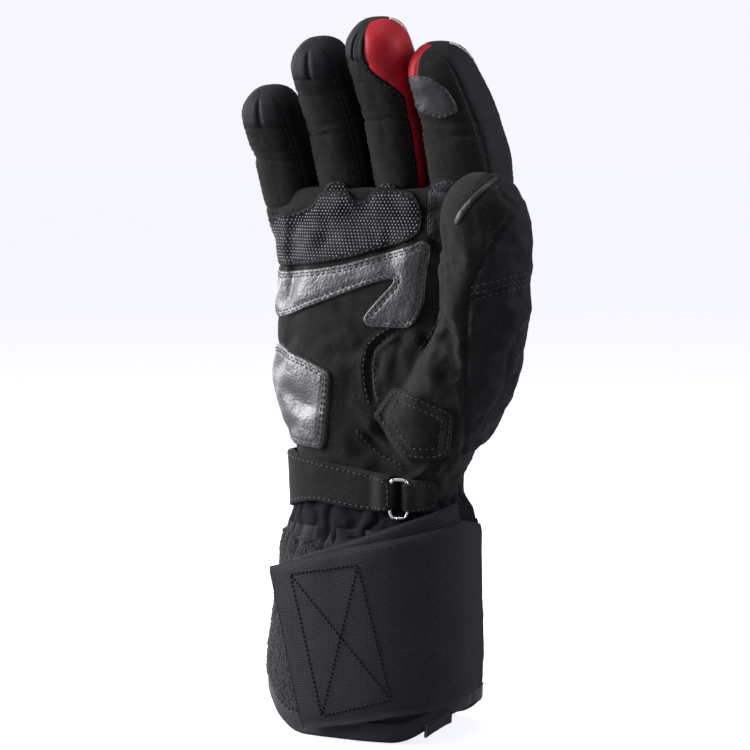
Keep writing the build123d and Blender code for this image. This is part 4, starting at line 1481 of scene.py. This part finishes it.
# ---------------------------------------------------------------- wrist
WRIST_SHAPE = [
    # height, centre x and y, half width, half depth
    (84, 3.4, 0.0, 44.2, 33.4),
    (94, 4.0, 0.0, 43.0, 32.0),
    (102, 4.2, 0.0, 40.8, 29.4),
    (108, 3.2, 0.0, 38.2, 27.0),
    (115, 2.5, 0.0, 37.4, 26.0),
]
GATHERS = 26


def wrist_gather():
    """Fabric bunched by elastic between the gauntlet and the hand."""
    heights = np.arange(86, 114.5, 0.8)
    grid = tube_grid(WRIST_SHAPE, heights, 320, 2.5)
    z = grid[..., 2]
    drift = wave(grid, 16, 71) * 2.4 + 0.05 * (z - 98)
    folds = np.abs(np.sin(ring_angles(320) * GATHERS / 2 + drift)) ** 0.8
    size = 2.8 * smooth((z - 85) / 8) * (0.55 + 0.45 * wave(grid, 22, 73)) * smooth((116 - z) / 8)
    grid = grid + grid_normals(grid) * ((folds - 0.45) * size)[..., None]
    obj = grid_piece("wrist_gather", grid, "gathered_lining")
    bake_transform(obj)


wrist_gather()


FLEECE_INSET = 6.0


def hand_fleece():
    """The inner face of the hand's lining, with a little loft in its pile."""
    rows = [(z, x, y, w - FLEECE_INSET, d - FLEECE_INSET) for z, x, y, w, d in HAND_SHAPE]
    grid = tube_grid(rows, np.arange(96, 246, 3.0), 120, 2.6)
    grid = grid + grid_normals(grid) * (0.5 * wave(grid, 6, 81))[..., None]
    ride(grid_piece("hand_fleece", grid, "insulation"), "hand", "hand_lining")


hand_fleece()
fleece_grid = thumb_grid()
thumb_axis = fleece_grid.mean(axis=1, keepdims=True)
fleece_grid = thumb_axis + (fleece_grid - thumb_axis) * 0.78
for part, rows, blend in (("base", slice(4, 24), thumb_limb.blend_lower),
                          ("tip", slice(23, -4), thumb_limb.blend_upper)):
    obj = grid_piece(f"thumb_{part}_fleece", fleece_grid[rows], "insulation")
    blend(obj)
    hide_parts(f"thumb_{part}_lining")

# The smooth form that the wrist strap lies on
FORMER = [(88, 2.5, 0.0, 40.6, 28.4), (112, 2.5, 0.0, 40.6, 28.6), (132, 2.5, 0.0, 41.6, 29.0)]
former = grid_tree(tube_grid(FORMER, np.arange(88, 132, 2.0), 160, 2.6))
STRAP = [("side", -80, 126.5), ("side", -66, 127.5), (-39.1, 127.5), (-30.3, 123.8), (-16.3, 120.1),
         (10.6, 114.6), (10.8, 98.4), (-4.7, 98.8), (-16.3, 101), (-27, 103.6), (-33, 103.2), (-38.8, 100.8),
         ("side", -66, 104), ("side", -80, 105)]
RING_RISE = 5.0  # how far the webbing stands off where it folds round the ring's bars
strap_relief = lambda p, gap, flat: pressed(1.9, 0.3, 0.6)(p, gap, flat) + 0.3 * wave(p, 12, 77)
strap = Patch(traced(STRAP, former), round_rays, lift=1.5, corner=0.9, tree=former, passes=2,
              relief=lambda p, gap, flat: strap_relief(p, gap, flat)
              + RING_RISE * smooth((seen(p)[0] + 2) / 7))
sew(strap, "wrist_band", "suede", [1.9], "wrist_band_stitching", ["wrist_strap"])
TAB = [(12.2, 114.2), (28.9, 112.2), (28.6, 98.6), (12.2, 97.6)]
tab = Patch(traced(TAB, former), round_rays, lift=1.5, corner=0.9, tree=former, passes=2,
            relief=lambda p, gap, flat: strap_relief(p, gap, flat)
            + RING_RISE * smooth((24 - seen(p)[0]) / 7))
sew(tab, "wrist_ring_tab", "suede", [1.9], "wrist_tab_stitching", ["wrist_strap_tab"])
STRAP_END = [("side", s, z) for s, z in
             ((-80.6, 126), (-126, 125), (-130, 121), (-130, 110), (-126, 106), (-80.6, 105.5))]
strap_end = Patch(traced(STRAP_END, former), round_rays, lift=1.7, corner=0.9, tree=former, passes=2,
                  relief=strap_relief)
sew(strap_end, "wrist_band_end", "suede", [1.9], "wrist_end_stitching", ["wrist_strap_end"],
    lambda obj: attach(obj, "wrist_strap_end"))

# ---------------------------------------------------------------- gauntlet
CUFF_SHAPE = [
    # height, centre x and y, half width, half depth
    (0, 0.3, 0.0, 47.2, 36.6),
    (25, 0.4, 0.0, 49.0, 37.6),
    (38, 0.8, 0.0, 48.4, 37.6),
    (57, 2.2, 0.0, 46.6, 36.6),
    (76, 3.3, 0.0, 45.1, 34.8),
    (85, 3.4, 0.0, 44.6, 33.8),
    (94, 4.0, 0.0, 43.4, 32.2),
    (101, 4.2, 0.0, 41.5, 30.0),
]
CUFF_TOP = 96.0
CUFF_ROUND = 2.7
CUFF_COLUMNS = 260


def hem_height(x):
    """The hem rises in a round corner at each side of the gauntlet."""
    return 0.8 + 19.0 * smooth((-x - 18) / 34) ** 1.5 + 12.5 * smooth((x - 24) / 27) ** 1.4


def cuff_grid(lift, low, high, rows, seed=91):
    """The gauntlet's surface between two heights above its hem (fractions), pushed out by lift."""
    level = tube_grid(CUFF_SHAPE, np.array([20.0]), CUFF_COLUMNS, CUFF_ROUND)[0]
    base = hem_height(level[:, 0])
    t = np.linspace(low, high, rows)
    heights = base[None, :] + (CUFF_TOP - base[None, :]) * t[:, None]
    turn = ring_angles(CUFF_COLUMNS)
    size = table(CUFF_SHAPE, heights)
    x, y = oval(turn, CUFF_ROUND)
    grid = np.stack([size[..., 0] + size[..., 2] * x, size[..., 1] + size[..., 3] * y, heights], 2)
    slack = 0.9 * wave(grid * np.array([1, 1, 0.6]), 26, seed, 3) + 0.35 * wave(grid, 9, seed + 1, 3)
    folds = np.abs(np.sin(turn[None, :] * GATHERS / 2 + 2 * wave(grid, 20, 92))) - 0.5
    slack += 1.3 * folds * smooth((heights - 78) / 12)
    for side in (math.pi / 2, 3 * math.pi / 2):
        slack -= 0.9 * bell((turn - side) * 50, 1.2)
    return grid + grid_normals(grid) * (lift + slack)[..., None]


ride(grid_piece("gauntlet_shell", cuff_grid(0.0, 0.0, 1.0, 96), "softshell"), "cuff", "cuff_shell")
ride(grid_piece("gauntlet_fleece", cuff_grid(-5.0, 0.03, 1.0, 40), "insulation"), "cuff", "cuff_lining")


def hem_piece():
    """Binding folded round the gauntlet's lower edge."""
    outer = cuff_grid(0.45, 0.012, 0.1, 12)
    outer[-1] = cuff_grid(-0.4, 0.1, 0.11, 2)[0]
    rim = cuff_grid(-0.6, 0.0, 0.01, 2)[:1]
    inner = cuff_grid(-2.2, 0.012, 0.1, 6)[::-1]
    ride(grid_piece("hem_fold", np.concatenate([inner, rim, outer]), "hem_binding"), "cuff", "cuff_hem")
    path, normals = (np.vstack([row, row[:1]]) for row in (outer[-2], grid_normals(outer)[-2]))
    ride(piece("hem_stitching", *stitches(path + normals * 0.05, normals), "thread"), "cuff")


hem_piece()


def loop_panel():
    """Pile that the gauntlet strap's hooks hold on, over the little finger's side."""
    low, high = 1.02 * math.pi, 2.0 * math.pi - 0.2
    columns = [k for k, turn in enumerate(ring_angles(CUFF_COLUMNS)) if low <= turn <= high]
    grid = cuff_grid(1.3, 0.1, 0.95, 96)[:, columns]
    edge_rows = np.minimum(np.arange(96), 95 - np.arange(96)) * 0.85
    edge_columns = np.minimum(np.arange(len(columns)), len(columns) - 1 - np.arange(len(columns))) * 1.1
    edge = np.minimum(edge_rows[:, None], edge_columns[None, :])
    fuzz = 0.3 * wave(grid, 1.9, 95, 2) + 0.2 * RNG.standard_normal(grid.shape[:2])
    grid = grid + grid_normals(grid, False) * (fuzz - 1.5 * (1 - smooth(edge / 1.4)))[..., None]
    ride(grid_piece("loop_pile", grid, "loop_fabric", False), "cuff", "cuff_loop_panel")


loop_panel()

# ---------------------------------------------------------------- gauntlet strap
TANGENT_AT = -0.30  # direction of the oval, in radians, where the strap's free end leaves it
SEWN_LIFT = 0.7  # how far the strap's middle stands off where it is sewn to the thumb side


def strap_plan(offset):
    """The strap's line seen from above: from its seam on the thumb side round the front, then straight."""
    turn = np.linspace(math.pi / 2 + 0.03, -math.pi / 2, 400)
    offset = SEWN_LIFT + (offset - SEWN_LIFT) * smooth((math.pi / 2 - turn) / 0.5)
    x, y = oval(turn, 2.45)
    line = np.stack([x * (51.2 + offset), y * (39.0 + offset)], 1)
    way = unit(np.gradient(line, axis=0))
    leave = int(np.argmax(np.arctan2(way[:, 1], -way[:, 0]) > -TANGENT_AT))
    straight = line[leave] + np.arange(1, 90)[:, None] * 1.0 * way[leave]
    line = np.vstack([line[:leave + 1], straight])
    return line, run_along(line)


def plan_at(plan, s):
    line, run = plan
    x, y = np.interp(s, run, line[:, 0]), np.interp(s, run, line[:, 1])
    ahead, behind = (np.stack([np.interp(s + step, run, axis) for axis in line.T], 1) for step in (0.5, -0.5))
    way = unit(ahead - behind)
    return np.stack([x, y], 1), np.stack([-way[:, 1], way[:, 0]], 1)


def on_plan(plan, outline):
    """Distances along the strap and heights of places on the drawing plane."""
    line, run = plan
    wall = np.concatenate([np.column_stack([line, np.full(len(line), -30.0)]),
                           np.column_stack([line, np.full(len(line), 140.0)])])
    n = len(line)
    tree = BVHTree.FromPolygons(wall.tolist(), [(k, k + 1, n + k + 1, n + k) for k in range(n - 1)])
    points, _ = cast(eye_rays, outline, tree)
    gap = np.hypot(points[:, None, 0] - line[None, :, 0], points[:, None, 1] - line[None, :, 1])
    return np.stack([run[np.argmin(gap, axis=1)], points[:, 2]], 1)


def band_grid(plan, top, bottom, ribs, thick=1.5):
    """A strap between two edges, as a closed loop of rows; its columns run towards the free end."""
    top, bottom = top[np.argsort(top[:, 0])], bottom[np.argsort(bottom[:, 0])]
    t_front = np.linspace(0, 1, ribs * 4 + 1)
    t_back = np.linspace(1, 0, 24)
    columns = 130
    k = np.linspace(0, 1, columns)
    rows = []
    for t, face in [(t, 1) for t in t_front] + [(t, -1) for t in t_back]:
        end = top[-1, 0] * t + bottom[-1, 0] * (1 - t)
        first = top[0, 0] * t + bottom[0, 0] * (1 - t)
        s = first + (end - first) * k
        z_top, z_bottom = np.interp(s, top[:, 0], top[:, 1]), np.interp(s, bottom[:, 0], bottom[:, 1])
        z = z_bottom + (z_top - z_bottom) * t
        place, out = plan_at(plan, s)
        edge = min(t, 1 - t) * ribs * RIB
        selvedge = math.sqrt(max(1 - (1 - min(edge / 1.2, 1)) ** 2, 0))
        lift = thick / 2 * selvedge * face
        if face > 0 and edge > 2.2:
            lift = lift + 0.17 * math.cos(2 * math.pi * ribs * t)
        points = np.column_stack([place, np.maximum(z, 0.4)])
        sag = 0.5 * wave(np.column_stack([s, z, z * 0]), 30, 97)
        points[:, :2] -= out * (lift + sag)[:, None]
        rows.append((points, np.column_stack([s, np.full(columns, t * ribs * RIB)])))
    grid = np.stack([r[0] for r in rows])
    uv = np.stack([r[1] for r in rows])
    return grid, uv


outer_plan = strap_plan(2.9)
inner_plan = strap_plan(1.0)
OUTER_TOP = [(-48.9, 73), (-11.2, 81.9), (18.2, 87.5), (41, 94.5)]
OUTER_BOTTOM = [(-33.5, -2.6), (-11.2, -0.5), (8.4, 2.8), (36.8, 8.3), (48.2, 17.2)]
INNER_TOP = [(-39, 76.6), (-11.2, 84.9), (13, 93.1), (38.2, 102.8)]
INNER_BOTTOM = [(-36, 58), (-5, 55), (20, 35), (46, 25)]


def strap_piece(name, plan, top, bottom, ribs, node, sewn=None):
    top, bottom = on_plan(plan, top), on_plan(plan, bottom)
    if sewn:
        bottom, top = np.vstack([bottom, [(0, sewn[0])]]), np.vstack([top, [(0, sewn[1])]])
    grid, uv = band_grid(plan, top, bottom, ribs)
    obj = piece(name, grid.reshape(-1, 3), band_faces(*grid.shape[:2]), "elastic", uv=uv.reshape(-1, 2))
    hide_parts(node)
    return obj, grid


strap_obj, strap_outer = strap_piece("gauntlet_strap", outer_plan, OUTER_TOP, OUTER_BOTTOM, 70, "cinch_strap",
                                      (21, 97))
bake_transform(strap_obj)
inner_obj, _ = strap_piece("gauntlet_strap_inner", inner_plan, INNER_TOP, INNER_BOTTOM, 46, "cinch_underlay")
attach(inner_obj, "cuff")
BOX = [(-39.6, 69.3), (-8.4, 73.5), (7, 10.7), (-25.1, 3.2)]
strap_tree = grid_tree(strap_outer, False)
box_rows = [[BOX[k], BOX[(k + 1) % 4]] for k in range(4)] + [[BOX[0], BOX[2]], [BOX[1], BOX[3]]]
box_parts = []
for start, end in box_rows:
    points, _ = cast(eye_rays, np.linspace(start, end, 60), strap_tree)
    out = np.tile(TOWARD, (len(points), 1))
    box_parts.append(stitches(points + out * 0.12, out, length=1.3, pitch=2.1, radius=0.42))
ride(piece("strap_box_stitching", *merge(box_parts), "dark_thread"), "cinch_strap")
hooks, _ = band_grid(strap_plan(1.6), on_plan(outer_plan, [(-42, 62), (-10, 66)]),
                     on_plan(outer_plan, [(-34, 14), (-4, 19)]), 20, thick=0.8)
ride(grid_piece("strap_hooks", hooks, "hook_plastic"), "cinch_strap", "cinch_hook_pad")


def hem_tab():
    """A short fold of binding that hangs from the hem under the gauntlet strap's fixed end."""
    face = cuff_grid(1.3, -0.028, 0.03, 7)
    across = seen(face[0])[0]
    columns = [k for k in range(CUFF_COLUMNS) if 23 <= across[k] <= 35 and face[0, k, 1] < 0]
    rows = []
    for lift, order in ((1.0, 1), (-0.9, -1)):
        side = (face + grid_normals(face) * lift)[:, columns]
        rows += list(side[::order])
    grid = np.array(rows)
    grid[..., 2] = np.maximum(grid[..., 2], 0.6)
    obj = piece("hem_fold_tab", grid.reshape(-1, 3), band_faces(*grid.shape[:2]), "hem_binding")
    ride(obj, "cuff", "hem_tab")


def wire_ring():
    """The bent steel wire that joins the wrist band to its tab."""
    box = np.array(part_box("wrist_ring")) / MM
    middle = box.mean(axis=0) + np.array([-0.3, 0.95, 0.8])
    tall = box[1, 2] - box[0, 2] - 2 * WIRE - 2.4
    wide = 8.0
    corners = [(-wide / 2, -tall / 2), (wide / 2, -tall / 2), (wide / 2, tall / 2), (-wide / 2, tall / 2)]
    line = rounded(corners, step=0.5, passes=4)
    line = np.vstack([line, line[:1]])
    across = unit(np.array([RING_SLOPE[0], RING_SLOPE[1], 0.0]))
    path = middle + line[:, :1] * across + line[:, 1:] * np.array([0, 0, 1.0])
    ride(piece("steel_ring", *cord_tube(path, WIRE, 12), "ring_steel"), "wrist_ring", "wrist_ring")


WIRE = 0.8
RING_SLOPE = (0.956, 0.292)
wire_ring()
hem_tab()

# ---------------------------------------------------------------- finishing
for skin, limb, groups in finger_skins.values():
    for obj in groups["base"]:
        limb.blend_lower(obj)
    for obj in groups["tip"]:
        limb.blend_upper(obj)

# ---------------------------------------------------------------- studio
FLOOR_SIZE = 20.0
floor = bpy.data.meshes.new("floor")
floor.from_pydata([(-FLOOR_SIZE, -FLOOR_SIZE, 0), (FLOOR_SIZE, -FLOOR_SIZE, 0),
                   (FLOOR_SIZE, FLOOR_SIZE, 0), (-FLOOR_SIZE, FLOOR_SIZE, 0)], [], [(0, 1, 2, 3)])
floor_object = bpy.data.objects.new("floor", floor)
bpy.context.scene.collection.objects.link(floor_object)
floor_look = material("floor", (0.32, 0.32, 0.34), 0.7)
floor_nodes, floor_links = floor_look.node_tree.nodes, floor_look.node_tree.links
floor_shader = floor_nodes["Principled BSDF"].inputs
floor_shader["Emission Color"].default_value = (0.93, 0.93, 1.0, 1)
sight = floor_nodes.new("ShaderNodeLightPath")
glow = floor_nodes.new("ShaderNodeMath")
glow.operation = "MULTIPLY"
glow.inputs[1].default_value = 0.88
floor_links.new(sight.outputs["Is Camera Ray"], glow.inputs[0])
floor_links.new(glow.outputs[0], floor_shader["Emission Strength"])
floor.materials.append(floor_look)


def area_light(name, place, aim, size, power, colour=(1, 1, 1)):
    light = bpy.data.lights.new(name, "AREA")
    light.size, light.energy, light.color = size, power, colour
    obj = bpy.data.objects.new(name, light)
    obj.location = place
    obj.rotation_euler = (Vector(aim) - Vector(place)).to_track_quat("-Z", "Y").to_euler()
    bpy.context.scene.collection.objects.link(obj)


GLOVE_MIDDLE = (0, 0, 0.17)
area_light("left_back", (-0.95, 0.6, 0.4), GLOVE_MIDDLE, 0.75, 8, (1, 0.99, 1))
area_light("left_front", (-1.1, -0.5, 0.6), GLOVE_MIDDLE, 0.8, 42, (0.97, 0.97, 1))
area_light("right", (1.05, 0.25, 0.55), GLOVE_MIDDLE, 0.6, 8, (0.93, 0.95, 1))
area_light("top", (0.1, -0.2, 1.4), GLOVE_MIDDLE, 0.8, 6)
world = bpy.data.worlds.new("studio")
bpy.context.scene.world = world
world.use_nodes = True
sky_nodes, sky_links = world.node_tree.nodes, world.node_tree.links
backdrop = sky_nodes["Background"]
backdrop.inputs["Color"].default_value = (0.93, 0.925, 0.99, 1)
room = sky_nodes.new("ShaderNodeBackground")
room.inputs["Color"].default_value = (0.9, 0.92, 1.0, 1)
room.inputs["Strength"].default_value = 0.28
rays = sky_nodes.new("ShaderNodeLightPath")
either = sky_nodes.new("ShaderNodeMixShader")
sky_links.new(rays.outputs["Is Camera Ray"], either.inputs[0])
sky_links.new(room.outputs[0], either.inputs[1])
sky_links.new(backdrop.outputs[0], either.inputs[2])
sky_links.new(either.outputs[0], sky_nodes["World Output"].inputs["Surface"])
bpy.context.scene.view_settings.view_transform = "Standard"

camera_data = bpy.data.cameras.new("camera")
camera = bpy.data.objects.new("camera", camera_data)
bpy.context.scene.collection.objects.link(camera)
camera.location = Vector(EYE * MM)
camera.rotation_euler = Vector(-TOWARD).to_track_quat("-Z", "Y").to_euler()
camera_data.sensor_width = 36.0
camera_data.lens = 36.0 * CAMERA_DISTANCE / VIEW_WIDTH
camera_data.clip_end = 50
bpy.context.scene.camera = camera
